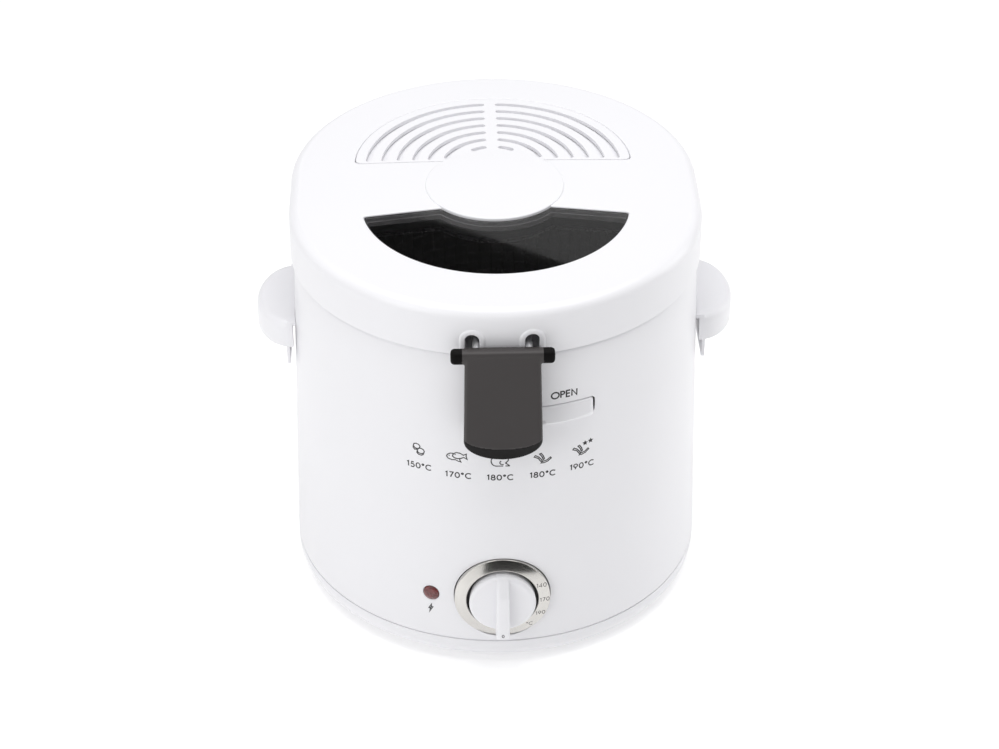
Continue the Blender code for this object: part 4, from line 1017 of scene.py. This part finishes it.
def make_dial():
    """Chromed dial ring: a shallow cone with a rolled edge and a collar that goes into the wall."""
    outer = DIAL_RADIUS / MM
    inner = BEZEL_INNER / MM
    fall = BEZEL_FALL / MM
    profile = [(inner - 0.2, -7.0), (inner - 0.2, -1.2), (inner + 0.1, 0.0), (outer, -fall),
               (outer - 0.1, -8.0)]
    ring = turned("dial_ring", profile, [0.2, 0.5, 0.8, 0.35, 0.3], tuple(DIAL), FORWARD, 192, True)
    piece(ring, DIAL_CHROME, "housing", "chrome", "dial_bezel")
    back = [(3.4, -7.4), (inner, -7.4), (inner, -6.6), (3.4, -6.6)]
    cup = turned("dial_cup", back, [0.1, 0.1, 0.1, 0.1], tuple(DIAL), FORWARD, 96, True)
    piece(cup, BLACK, "housing", "black_plastic")


def on_bezel(x, z, out=0.0):
    """A point on the dial ring's cone, measured from the dial's centre."""
    share = (math.hypot(x, z) - BEZEL_INNER) / (DIAL_RADIUS - BEZEL_INNER)
    return Vector((DIAL.x + x, DIAL.y + BEZEL_FALL * share - out, DIAL.z + z))


KNOB_BACK, KNOB_FACE = -121.3, -129.2
RING_EDGE_Z = -17.4                 # below this the bar passes in front of the dial ring
BAR_BACK_AT_RING = -125.7


def make_knob():
    """Round knob with a bar across it that ramps up from the top and stands over the rim below."""
    radius = KNOB_RADIUS / MM - 0.4
    depth = KNOB_BACK - KNOB_FACE
    profile = [(3.2, 0.0), (radius - 0.6, 0.0), (radius, depth - 1.4), (radius - 1.2, depth),
               (0.0, depth + 0.3)]
    disc = turned("knob", profile, [0, 0.5, 0.7, 1.2, 0], (DIAL.x, KNOB_BACK * MM, DIAL.z), FORWARD, 160)
    front = knob_low.y / MM
    lower, upper = (knob_low.z - DIAL.z) / MM, 16.6
    rows = []
    for step in range(61):
        z = lower + (upper - lower) * step / 60
        ramp = max(0.0, (z - 8.0) / (upper - 8.0))
        nose = max(0.0, 1.0 - (z - lower) / 1.2)
        tucked = 1.0 - math.sqrt(max(0.0, 1.0 - nose ** 2))
        half = 3.5 - 0.5 * (z - lower) / (upper - lower) - 0.5 * tucked
        crest = front + (KNOB_FACE + 0.2 - front) * ramp ** 1.5 + 0.8 * tucked
        base = KNOB_BACK - 1.0 if z > RING_EDGE_Z else BAR_BACK_AT_RING
        section = eased([(half + 0.45, base), (half, crest), (-half, crest), (-half - 0.45, base)],
                        [0.0, 0.9, 2.2, 0.0], 7)
        rows.append([Vector((DIAL.x + x * MM, y * MM, DIAL.z + z * MM)) for x, y in section])
    boolean(disc, [solid("knob_bar", rows)], "UNION")
    piece(disc, WHITE, "knob", "white_plastic", "dial_knob")


def make_lamp():
    """Faceted lamp lens set in the wall, leaning with it."""
    axis = (lamp_point(-1.0) - lamp_point(0.0)).normalized()
    profile = [(0.0, 1.25), (2.4, 1.05), (4.2, 0.35), (4.25, -7.0), (0.0, -7.0)]
    lens = turned("lamp", profile, [0, 0.6, 0.5, 0.3, 0], tuple(lamp_point(0.0)), tuple(axis), 64)
    piece(lens, LAMP, "housing", "lamp_red", "lamp_lens")


FOOT_OUT, BROW_RISE = 3.3, 1.2      # how far the key stands out at its lower edge, and swells above it, mm
TOP_OUT, BROW_FALL = 0.4, 4.1       # how far it stands out at its upper edge, and falls back to it, mm
CLEAR_OF_GRIP = 20.3 * MM           # the key is free to stand out beyond this, past the folded grip


def make_button():
    """Release button: a long key that swells up to a curved brow and falls back above it."""
    low, high = button_low, button_high
    across, levels = 44, 26
    behind_grip = grip_high.y + 0.75 * MM      # the left end lies flat under the folded grip
    rows = []
    for level in range(levels + 1):
        rise = level / levels
        row = []
        for step in range(across + 1):
            share = step / across
            x = low.x + (high.x - low.x) * share
            wall = wall_front(x, (low.z + high.z) / 2)
            brow = 0.36 - 0.17 * math.sin(math.pi * share)
            if rise < brow:
                swell = FOOT_OUT + BROW_RISE * math.sin(math.pi / 2 * min(1.0, rise / brow))
            else:
                swell = TOP_OUT + BROW_FALL * (1.0 - (rise - brow) / (1.0 - brow)) ** 1.15
            ends = min(1.0, (min(share, 1.0 - share) * (high.x - low.x)) / (1.3 * MM))
            edge = min(1.0, min(rise, 1.0 - rise) * (high.z - low.z) / (0.7 * MM))
            soften = (1.0 - (1.0 - ends) ** 2) * (1.0 - (1.0 - edge) ** 2)
            out = (swell - 0.9 * (1.0 - soften)) * MM
            normal = Vector((x, wall + HALF, 0.0)).normalized()
            point = Vector((x, wall, low.z + (high.z - low.z) * rise)) + normal * out
            point.x = x
            point.y = max(point.y, behind_grip - 2.0 * max(0.0, x - CLEAR_OF_GRIP))
            row.append(point)
        rows.append(row)

    def close_back(work):
        """Draw the rim straight back and close it."""
        made = bmesh.ops.extrude_edge_only(work, edges=[edge for edge in work.edges if edge.is_boundary])
        for vert in [item for item in made["geom"] if isinstance(item, bmesh.types.BMVert)]:
            vert.co.y = high.y - 1.4 * MM
        bmesh.ops.holes_fill(work, edges=[edge for edge in work.edges if edge.is_boundary], sides=0)
        bmesh.ops.recalc_face_normals(work, faces=work.faces)

    key = reworked(skin("release_button", rows, loop=False), close_back)
    outline = rounded_rectangle((low.x, low.z), (high.x, high.z), 1.9 * MM)
    boolean(key, [block("button_corners", outline, -100 * MM, -140 * MM)], "INTERSECT")
    piece(key, WHITE, "button", "white_plastic", "open_button", angle=50.0)


# ---- print --------------------------------------------------------------
def ring_of(x, y, width, height, count=20):
    """Points of an ellipse, as fractions of a letter's height."""
    angles = [2 * math.pi * index / count for index in range(count)]
    return [(x + width / 2 * math.cos(angle), y + height / 2 * math.sin(angle)) for angle in angles]


def bend(x, y, width, height, first, last, count=12):
    """Points of an arc of an ellipse."""
    points = []
    for index in range(count + 1):
        angle = math.radians(first + (last - first) * index / count)
        points.append((x + width / 2 * math.cos(angle), y + height / 2 * math.sin(angle)))
    return points


# Each sign: its width, open strokes and closed strokes, in letter heights.
SIGNS = {
    "0": (0.62, [], [ring_of(0.31, 0.5, 0.62, 1.0)]),
    "1": (0.30, [[(0.02, 0.86), (0.24, 1.0), (0.24, 0.0)]], []),
    "4": (0.64, [[(0.48, 0.0), (0.48, 1.0), (0.0, 0.28), (0.64, 0.28)]], []),
    "5": (0.56, [[(0.5, 1.0), (0.16, 1.0), (0.08, 0.56)] + bend(0.25, 0.32, 0.6, 0.64, 118, -140)], []),
    "7": (0.56, [[(0.0, 1.0), (0.56, 1.0), (0.16, 0.0)]], []),
    "8": (0.56, [], [ring_of(0.28, 0.76, 0.44, 0.48), ring_of(0.28, 0.27, 0.56, 0.54)]),
    "9": (0.58, [bend(0.29, 0.69, 0.58, 0.62, 0, -75, 6) + [(0.2, 0.0)]], [ring_of(0.29, 0.69, 0.58, 0.62)]),
    "o": (0.30, [], [ring_of(0.15, 0.86, 0.26, 0.26, 12)]),
    "C": (0.80, [bend(0.46, 0.5, 0.92, 1.0, 46, 314, 18)], []),
    "O": (0.98, [], [ring_of(0.49, 0.5, 0.98, 1.0, 28)]),
    "P": (0.50, [[(0.0, 0.0), (0.0, 1.0), (0.2, 1.0)] + bend(0.2, 0.75, 0.56, 0.5, 90, -90) + [(0.0, 0.5)]],
          []),
    "E": (0.48, [[(0.48, 1.0), (0.0, 1.0), (0.0, 0.0), (0.48, 0.0)], [(0.0, 0.52), (0.44, 0.52)]], []),
    "N": (0.66, [[(0.0, 0.0), (0.0, 1.0), (0.66, 0.0), (0.66, 1.0)]], []),
}


def ribbon(points, width, place, closed=False):
    """A thin printed stroke: place(x, y, out) puts each point on the surface."""
    points = [Vector(point) for point in points]
    rows = []
    for index, point in enumerate(points):
        before = points[index - 1] if index or closed else point
        after = points[(index + 1) % len(points)] if index + 1 < len(points) or closed else point
        first = (point - before).normalized() if (point - before).length else (after - point).normalized()
        second = (after - point).normalized() if (after - point).length else first
        along = (first + second).normalized() if (first + second).length > 0.2 else second
        side = Vector((-along.y, along.x)) * width / 2 / max(0.5, along.dot(second))
        left, right = point + side, point - side
        rows.append([place(right.x, right.y, -0.05 * MM), place(left.x, left.y, -0.05 * MM),
                     place(left.x, left.y, 0.04 * MM), place(right.x, right.y, 0.04 * MM)])
    return skin("stroke", rows, first=not closed, last=not closed, wrap=closed)


def written(text, centre, height, weight, place, spacing=0.16, width_share=1.0):
    """Strokes of a line of text whose middle is at centre."""
    total = sum(SIGNS[sign][0] + spacing for sign in text) - spacing
    x = -total / 2
    strokes = []
    for sign in text:
        width, open_lines, loops = SIGNS[sign]
        for closed, lines in ((False, open_lines), (True, loops)):
            for line in lines:
                points = [(centre[0] + (x + px) * height * width_share, centre[1] + (py - 0.5) * height)
                          for px, py in line]
                strokes.append(ribbon(points, weight, place, closed))
        x += width + spacing
    return strokes


def drawn(lines, centre, weight, place, scale=1.0):
    """Strokes of a small picture drawn in millimetres round its centre."""
    strokes = []
    for closed, line in lines:
        points = [(centre[0] + x * MM * scale, centre[1] + y * MM * scale) for x, y in line]
        strokes.append(ribbon(points, weight, place, closed))
    return strokes


def nuggets():
    return [
        (True, [(-2.9, 1.6), (-2.5, 2.9), (-1.2, 3.3), (0.1, 2.9), (0.7, 1.9), (0.4, 0.9), (-0.6, 0.3),
                (-2.0, 0.4)]),
        (False, [(-2.9, 1.4), (-3.0, 0.4), (-2.2, -0.5), (-1.3, -0.2), (-0.9, -0.6)]),
        (True, [(-0.8, -1.0), (-0.3, 0.4), (0.9, 0.9), (2.3, 0.5), (3.0, -0.6), (2.5, -1.8), (1.2, -2.3),
                (-0.3, -2.0)]),
        (False, [(-0.9, -1.2), (-1.0, -2.2), (-0.1, -3.0), (1.3, -3.2), (2.2, -2.7), (2.6, -1.9)]),
    ]


def fish():
    return [
        (False, [(3.3, -0.2), (1.8, -0.9), (0.4, -1.2), (-1.0, -0.9), (-1.9, -0.1), (-1.5, 1.2), (-0.2, 2.0),
                 (1.5, 1.8), (3.0, 0.9), (4.3, 1.6), (4.2, 0.4), (4.7, -1.2), (3.3, -0.3)]),
        (False, [(-1.6, 1.4), (-3.0, 1.3), (-4.2, 0.5), (-4.6, -0.5), (-3.8, -1.5), (-2.2, -2.0),
                 (-0.6, -1.9), (0.4, -2.4), (1.9, -2.9), (1.4, -1.9), (1.3, -1.1)]),
        (False, [(-3.6, -0.1), (-3.2, 0.3)]),
        (False, [(-0.9, 0.7), (-0.5, 1.0)]),
    ]


def drumstick():
    return [
        (False, [(4.4, -2.6), (-1.6, -2.6)] + bend(-1.9, 0.1, 5.0, 5.4, 268, 60, 14)
         + [(0.4, 2.6), (2.2, 2.4)] + bend(2.2, 1.0, 3.0, 2.8, 90, -40, 8) + [(2.4, -0.9), (4.4, -2.6)]),
        (False, bend(0.9, -0.7, 2.4, 2.2, 120, 300, 10)),
    ]


def fries():
    return [
        (True, [(-4.2, 1.1), (-3.6, 1.9), (-2.0, 0.9), (-0.6, -0.8), (-0.2, -1.9), (-1.0, -1.7),
                (-2.2, 0.1)]),
        (True, [(-1.6, 2.5), (-0.8, 2.8), (0.2, 1.3), (0.8, -0.5), (0.2, -0.9), (-0.4, 0.9)]),
        (True, [(-0.9, -2.7), (-0.1, -1.8), (1.9, -1.4), (3.7, 0.0), (4.1, -0.6), (2.3, -2.1), (0.5, -2.7)]),
    ]


def star(x, y, size):
    points = []
    for index in range(10):
        angle = math.radians(90 + 36 * index)
        radius = size if index % 2 == 0 else size * 0.42
        points.append((x + radius * math.cos(angle), y + radius * math.sin(angle)))
    return [(True, points), (True, [(x + (px - x) * 0.45, y + (py - y) * 0.45) for px, py in points])]


def make_print():
    """Button word, cooking guide with pictures, lamp sign and dial numbers, as thin printed strokes."""
    strokes = written("OPEN", (30.8 * MM, 164.0 * MM), 3.5 * MM, 0.78 * MM, on_wall, 0.24, 1.12)
    # each label and picture: its distance round the wall and its height, mm
    labels = ((-42.3, 120.6, "150"), (-22.0, 118.8, "170"), (-1.1, 118.5, "180"), (20.2, 118.7, "180"),
              (40.9, 119.4, "190"))
    for along, z, value in labels:
        strokes += written(value + "oC", (along * MM, z * MM), 2.95 * MM, 0.6 * MM, on_wall, 0.3, 1.16)
    guide = ((-42.2, 130.4, nuggets(), 1.0), (-22.6, 130.0, fish(), 1.12), (-0.9, 128.1, drumstick(), 1.05),
             (20.2, 128.3, fries(), 1.05),
             (40.2, 128.8, fries() + star(2.1, 3.3, 0.95) + star(5.0, 3.9, 0.95), 1.05))
    for along, z, picture, scale in guide:
        strokes += drawn(picture, (along * MM, z * MM), 0.56 * MM, on_wall, scale)
    bolt = [(True, [(0.5, 3.0), (-1.1, -0.1), (-0.1, 0.1), (-0.8, -3.0), (1.2, 0.9), (0.2, 0.7)])]
    strokes += drawn(bolt, (-37.4 * MM, 33.0 * MM), 0.7 * MM, on_wall, 0.9)
    piece(merged("printed_signs", strokes), PRINT, "housing", "black_plastic", angle=80.0)

    marks = []
    middle = (BEZEL_INNER + DIAL_RADIUS) / 2 + 0.15 * MM
    for angle, text in ((23.0, "140"), (-2.0, "170"), (-26.0, "190"), (-50.0, "oC")):
        centre = (middle * math.cos(math.radians(angle)), middle * math.sin(math.radians(angle)))
        marks += written(text, centre, 2.3 * MM, 0.3 * MM, on_bezel, 0.3)
    piece(merged("dial_numbers", marks), PRINT, "housing", "chrome", angle=80.0)

    def on_bar(x, z, out):
        return Vector((DIAL.x + x, knob_low.y + 0.12 * MM - out - 0.1 * MM, DIAL.z + z))
    zero = written("0", (0.0, knob_low.z - DIAL.z + 2.9 * MM), 1.7 * MM, 0.36 * MM, on_bar)
    piece(merged("knob_mark", zero), PRINT, "knob", "white_plastic", angle=80.0)


# ---- basket -------------------------------------------------------------
BASKET_BOTTOM, BASKET_TOP = (corner.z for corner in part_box("frying_basket"))
RIM_Z = sum(corner.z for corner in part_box("basket_rim")) / 2


WEAVE = 0.45 * MM                   # how far the wires sway over and under each other


def make_basket():
    """Woven wire basket: hoops and uprights that pass over and under, a crossed floor and a rim ring."""
    wire = 0.5 * MM
    uprights, hoops, around_steps = 72, 19, 72 * 4
    low_radius, high_radius, corner = 72.6 * MM, 76.6 * MM, 5.0 * MM
    height = BASKET_TOP - BASKET_BOTTOM
    strands = []

    def side_radius(z):
        share = (z - BASKET_BOTTOM) / height
        rounding = max(0.0, 1.0 - (z - BASKET_BOTTOM) / corner)
        return (low_radius + (high_radius - low_radius) * share
                - corner * (1.0 - math.sqrt(1.0 - rounding ** 2)))

    for index in range(uprights):
        route = []
        for step in range(26):
            z = BASKET_BOTTOM + wire + (BASKET_TOP + 0.6 * MM - BASKET_BOTTOM) * (step / 25) ** 1.25
            route.append(around(side_radius(z) - 0.2 * MM, 2 * math.pi * index / uprights, z))
        strands.append(tube("upright", route, wire, 6))
    for hoop in range(hoops):
        z = BASKET_BOTTOM + 4.2 * MM + (BASKET_TOP - BASKET_BOTTOM - 6.0 * MM) * hoop / (hoops - 1)
        route = []
        for step in range(around_steps):
            sway = WEAVE * math.cos(math.pi * (step / 4 + hoop))
            route.append(around(side_radius(z) - 0.2 * MM + sway, 2 * math.pi * step / around_steps, z))
        strands.append(tube("hoop", route, wire, 6, closed=True))
    pitch = 6.0 * MM
    reach_out = low_radius - corner + 0.8 * MM
    for way in (0, 1):
        for index in range(-11, 12):
            offset = index * pitch
            if abs(offset) >= reach_out:
                continue
            end = math.sqrt(reach_out ** 2 - offset ** 2)
            route = []
            count = max(3, int(end / pitch) * 4)
            for step in range(count + 1):
                along = -end + 2 * end * step / count
                lift = WEAVE * math.cos(math.pi * (along / pitch + index)) * (1 if way else -1)
                point = (along, offset) if way else (offset, along)
                route.append(Vector((*point, BASKET_BOTTOM + 1.0 * MM + lift)))
            strands.append(tube("floor_wire", route, wire, 6))
    for radius, z in ((reach_out - 0.2 * MM, BASKET_BOTTOM + 0.9 * MM),
                      (side_radius(BASKET_TOP), BASKET_TOP - 0.4 * MM)):
        strands.append(tube("binding", circle(radius, z, 144), wire * 1.3, 8, closed=True))
    piece(merged("basket_mesh", strands), CHROME, "basket", "steel", "frying_basket", angle=80.0)
    ring = tube("basket_ring", circle(75.8 * MM, RIM_Z, 192), 1.8 * MM, 18, closed=True)
    piece(ring, STEEL, "basket", "steel", "basket_rim", angle=80.0)


def make_arms():
    """Bent wires from the basket up through the lid's notches to the folding grip."""
    axis = (GRIP_AXIS.y / MM, GRIP_AXIS.z / MM)
    for side, label in ((-1, "left"), (1, "right")):
        corners = [(12.8, -78.6, 132.0), (12.8, -78.6, 196.5), (12.8, -111.0, 198.1), (12.8, -119.6, 195.6),
                   (13.0, *axis), (24.2, *axis)]
        points = [Vector((side * x, y, z)) * MM for x, y, z in corners]
        route = eased(points, [0, 9 * MM, 5 * MM, 4 * MM, 1.6 * MM, 0], 9)
        wire = tube(f"basket_wire_{label}", route, 1.6 * MM, 20)
        piece(wire, WIRE, "basket", "chrome", f"basket_arm_{label}", angle=80.0)


def make_grip():
    """Folding grip: a wide tongue with a bevelled round nose, hung on a barrel with an ear at each side."""
    top = GRIP_AXIS.z / MM + 2.6
    nose = grip_low.z / MM
    back = grip_high.y / MM + 0.35
    edge = 1.6                      # rounding of the face's two long edges, mm
    rows = []
    for level in range(111):
        z = nose + 0.02 + (top - nose) * (level / 110) ** 1.3
        half = tongue_half_width(z, nose)
        across = [half * math.sin(math.pi / 2 * (index / 24 - 1.0)) for index in range(49)]
        row = []
        for x in across:
            inward = max(0.0, 1.0 - (half - abs(x)) / edge)
            rounding = edge * (1.0 - math.sqrt(max(0.0, 1.0 - inward ** 2)))
            row.append(Vector((x, tongue_face(x, z) + rounding, z)) * MM)
        row += [Vector((x * 0.985, back, z)) * MM for x in reversed(across)]
        rows.append(row)
    tongue = solid("tongue", rows)
    boolean(tongue, [rounded_bar("ears", grip_low.x / MM, grip_high.x / MM)], "UNION")
    even = tongue.modifiers.new("even", "REMESH")
    even.mode = "VOXEL"
    even.voxel_size = 0.4 * MM
    soft = tongue.modifiers.new("soft", "SMOOTH")
    soft.factor = 0.5
    soft.iterations = 3
    settle(tongue)
    piece(tongue, GRIP, "grip", "black_plastic", "basket_grip", angle=180.0)
    tongue.data.materials.append(GRIP_PAINTED_SHADE)
    # Painted shade: faces below the nose's crisp edge get the near-black copy of the grip's plastic, and the ears
    # beyond EAR_X get it too.
    for face in tongue.data.polygons:
        x, z = face.center.x / MM, face.center.z / MM
        if z < nose_edge(x) - 0.1 or abs(x) > EAR_X:
            face.material_index = 1


NOSE_DEPTH = 11.6                   # height of the tongue's round end, mm
NOSE_EDGE = 147.8                   # lowest point of the crisp edge where the face turns under, mm
FACE_TOP_Y, FACE_LOW_Y = -129.1, -138.0
EAR_X = 19.6                        # the ears stand out beyond this, mm


def tongue_half_width(z, nose):
    """Half the tongue's width: nearly straight sides, then half an ellipse."""
    straight = 19.35 - 1.1 * (z - nose) / (GRIP_AXIS.z / MM - nose)
    fall = max(0.0, 1.0 - (z - nose) / NOSE_DEPTH)
    return straight * math.sqrt(max(0.0004, 1.0 - fall ** 2))


def nose_edge(x):
    """Height of the crisp curved edge at the foot of the face, mm."""
    return NOSE_EDGE + 6.4 * (1.0 - math.sqrt(max(0.0, 1.0 - (x / 19.4) ** 2)))


def tongue_face(x, z):
    """Front of the tongue: it leans out going down, then turns under at a curved edge."""
    slope = (FACE_LOW_Y - FACE_TOP_Y) / (GRIP_AXIS.z / MM - NOSE_EDGE)
    edge = nose_edge(x)
    if z >= edge:
        return FACE_TOP_Y + slope * (GRIP_AXIS.z / MM - z)
    return FACE_TOP_Y + slope * (GRIP_AXIS.z / MM - edge) + (edge - z) * 0.5


def rounded_bar(name, low_x, high_x):
    """Barrel along X with rounded ends and a slightly flattened section."""
    rows = []
    for inset, x in ((1.6, low_x), (0.5, low_x + 0.4), (0.0, low_x + 1.6),
                     (0.0, high_x - 1.6), (0.5, high_x - 0.4), (1.6, high_x)):
        row = []
        for index in range(40):
            angle = 2 * math.pi * index / 40
            c, s = math.cos(angle), math.sin(angle)
            y = (3.2 - inset) * math.copysign(abs(c) ** 0.6, c)
            z = (3.5 - inset) * math.copysign(abs(s) ** 0.6, s)
            row.append(Vector((x * MM, GRIP_AXIS.y + (y - 0.3) * MM, GRIP_AXIS.z + (z - 0.1) * MM)))
        rows.append(row)
    return solid(name, rows)


# ---- pot, seal and hinge ------------------------------------------------
def make_pot():
    """Drawn pot with a rolled lip, a rounded floor and two pressed level marks."""
    bottom, lip_z = (corner.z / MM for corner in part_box("oil_pot"))
    profile = [(0.6, bottom + 1.3), (81.6, bottom + 1.3), (86.9, lip_z - 1.2), (95.0, lip_z - 0.05),
               (95.4, lip_z - 1.4), (88.3, lip_z - 2.4), (83.1, bottom), (0.6, bottom)]
    pot = turned("pot", profile, [0, 9.0, 1.6, 0.5, 0.5, 1.6, 10.0, 0], count=192)
    piece(pot, COATING, "housing", "nonstick", "oil_pot", angle=40.0)
    marks = []
    for z, half_angle in ((112.0, 5.0), (140.0, 9.0)):
        radius = (81.6 + (z - bottom) / (lip_z - bottom) * 5.3 + 0.5) * MM
        for side in (-1, 1):
            angles = [math.radians(90.0 + side * 26.0 + (step - 8) * half_angle / 8) for step in range(17)]
            route = [around(radius, angle, z * MM) for angle in angles]
            marks.append(tube("mark", route, 0.8 * MM, 10))
    piece(merged("pot_marks", marks), COATING, "housing", "nonstick", angle=80.0)


def make_seal():
    """The lid's seal ring with its two lips, open at the front for the basket's wires."""
    low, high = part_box("lid_seal")
    foot, top = low.z / MM, high.z / MM
    profile = [(91.7, top), (95.1, top), (95.1, top - 2.2), (93.6, foot + 3.2), (95.0, foot), (93.7, foot),
               (91.9, foot + 3.6)]
    seal = turned("seal_ring", profile, [0.4, 0.5, 1.0, 1.4, 0.3, 0.3, 1.4], count=192, closed=True)
    boolean(seal, [box("seal_gap", (-19 * MM, -110 * MM, low.z - MM), (19 * MM, -80 * MM, high.z + MM))])
    piece(seal, SILICONE, "lid", "silicone", "lid_seal", angle=40.0)


def make_gland():
    """Cord entry with a flange and a ribbed sleeve; the cord itself is not part of the object."""
    low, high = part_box("cord_gland")
    start = low.y / MM
    profile = [(3.6, 0.0), (6.0, 0.0), (6.0, 7.9), (9.2, 8.1), (9.2, 10.3)]
    radii = [0.2, 0.3, 0.1, 0.3, 0.5]
    for rib in range(3):
        z = 11.4 + rib * 1.4
        profile += [(6.6, z - 0.8), (7.7, z - 0.5), (7.7, z + 0.1), (6.5, z + 0.3)]
        radii += [0.2, 0.2, 0.2, 0.2]
    profile += [(6.2, high.y / MM - start), (3.6, high.y / MM - start)]
    radii += [0.4, 0.3]
    gland = turned("gland", profile, radii, (0.0, low.y, GLAND_Z), (0.0, 1.0, 0.0), 64, True)
    piece(gland, BLACK, "housing", "black_plastic", "cord_gland")


def make_hinge():
    """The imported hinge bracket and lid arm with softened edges."""
    def join_faces(work):
        bmesh.ops.remove_doubles(work, verts=work.verts, dist=1e-6)
        bmesh.ops.dissolve_limit(work, angle_limit=math.radians(1.0), verts=work.verts, edges=work.edges)

    hinge_parts = (("hinge_bracket", "housing", "hinge_foot"), ("lid_hinge_arm", "lid", "lid_knuckles"))
    for node, body, name in hinge_parts:
        copy = reworked(loose(name, frame["nodes"][node].data.copy()), join_faces)
        piece(bevel(copy, 0.7 * MM, 3, 40.0), WHITE, body, "white_plastic", node)


# ---- the room -----------------------------------------------------------
CARD_COLOR = (0.02, 0.02, 0.02)
LIGHT_TARGET = (0.0, 0.0, 0.1)
TABLE_GLOW, SURROUNDINGS_GLOW = 0.26, 0.42


def glow(name, place, size, power):
    """A soft box that shines towards the fryer."""
    light = bpy.data.lights.new(name, "AREA")
    light.shape = "RECTANGLE"
    light.size, light.size_y = size
    light.energy = power
    obj = bpy.data.objects.new(name, light)
    bpy.context.scene.collection.objects.link(obj)
    obj.location = place
    obj.rotation_euler = (Vector(LIGHT_TARGET) - Vector(place)).to_track_quat("-Z", "Y").to_euler()


def card(name, corners):
    """A flat dark card between four corners, seen only in reflections."""
    work = bmesh.new()
    work.faces.new([work.verts.new(corner) for corner in corners])
    obj = loose(name, from_bmesh(work, name))
    obj.data.materials.append(plastic(name + "_paper", CARD_COLOR, 0.9, 50.0, 0.0001))
    obj.visible_camera = False
    obj.visible_diffuse = False
    obj.visible_shadow = False


def facing_card(name, azimuth, elevation, distance, size):
    """A dark card that faces the fryer; azimuth is measured from the front towards +X."""
    a, e = math.radians(azimuth), math.radians(elevation)
    place = Vector((math.sin(a) * math.cos(e), -math.cos(a) * math.cos(e), math.sin(e))) * distance
    turn = (-place).to_track_quat("Z", "Y")
    centre = place + Vector((0.0, 0.0, 0.1))
    card(name, [centre + turn @ Vector((x * size[0], y * size[1], 0.0))
                for x, y in ((-0.5, -0.5), (0.5, -0.5), (0.5, 0.5), (-0.5, 0.5))])


def make_room():
    """Bright white table and surroundings."""
    work = bmesh.new()
    bmesh.ops.create_grid(work, x_segments=1, y_segments=1, size=6.0)
    floor = loose("table_top", from_bmesh(work, "table_top"))
    paint = Finish("table_white", 0.28, specular=0.35)
    paint.color(paint.noise(3.0), (0.3, (0.90, 0.90, 0.90)), (0.7, (0.92, 0.92, 0.92)))
    paint.rough(paint.noise(8.0), 0.26, 0.32)
    paint.shader.inputs["Emission Color"].default_value = (1.0, 1.0, 1.0, 1.0)
    paint.shader.inputs["Emission Strength"].default_value = TABLE_GLOW
    floor.data.materials.append(paint.mat)
    world = bpy.data.worlds.new("surroundings")
    bpy.context.scene.world = world
    world.use_nodes = True
    background = world.node_tree.nodes["Background"].inputs
    background["Color"].default_value = (1.0, 1.0, 1.0, 1.0)
    background["Strength"].default_value = SURROUNDINGS_GLOW
    glow("overhead", (0.0, 0.0, 1.5), (1.6, 1.2), 16.0)
    glow("left_front", (-1.1, -1.1, 0.75), (0.9, 1.1), 6.3)
    glow("right_back", (1.4, 0.35, 0.5), (0.6, 1.0), 4.4)
    facing_card("dark_front_right", 15.0, 12.0, 1.5, (1.3, 0.62))
    card("dark_low_strip", [(-0.058, -0.345, 0.001), (0.15, -0.345, 0.001), (0.15, -0.345, 0.085),
                            (-0.058, -0.345, 0.085)])
    # its slanting lower edge is the line that crosses the window's reflection
    card("dark_behind", [(-0.9, 0.95, 0.364), (0.9, 0.95, 1.336), (0.9, 0.95, 1.75), (-0.9, 0.95, 1.75)])


CAMERA_PLACE = (-0.0340, -1.1137, 0.8572)
CAMERA_AIM = (0.00257, 0.00004, 0.0976)
LENS, SENSOR = 90.1, 36.0           # focal length and sensor width, mm: a field of view of 22.6 degrees


def make_camera():
    data = bpy.data.cameras.new("view")
    data.lens = LENS
    data.sensor_width = SENSOR
    data.clip_end = 30.0
    camera = bpy.data.objects.new("view", data)
    bpy.context.scene.collection.objects.link(camera)
    camera.location = CAMERA_PLACE
    aim = Vector(CAMERA_AIM) - camera.location
    camera.rotation_euler = aim.to_track_quat("-Z", "Y").to_euler()
    bpy.context.scene.camera = camera


dress_packed_nodes()
make_housing()
make_base()
make_side_handles()
make_lid()
make_vent()
make_window()
make_dial()
make_knob()
make_lamp()
make_button()
make_print()
make_basket()
make_arms()
make_grip()
make_pot()
make_seal()
make_gland()
make_hinge()
make_room()
make_camera()
bpy.context.scene.view_settings.view_transform = "Standard"
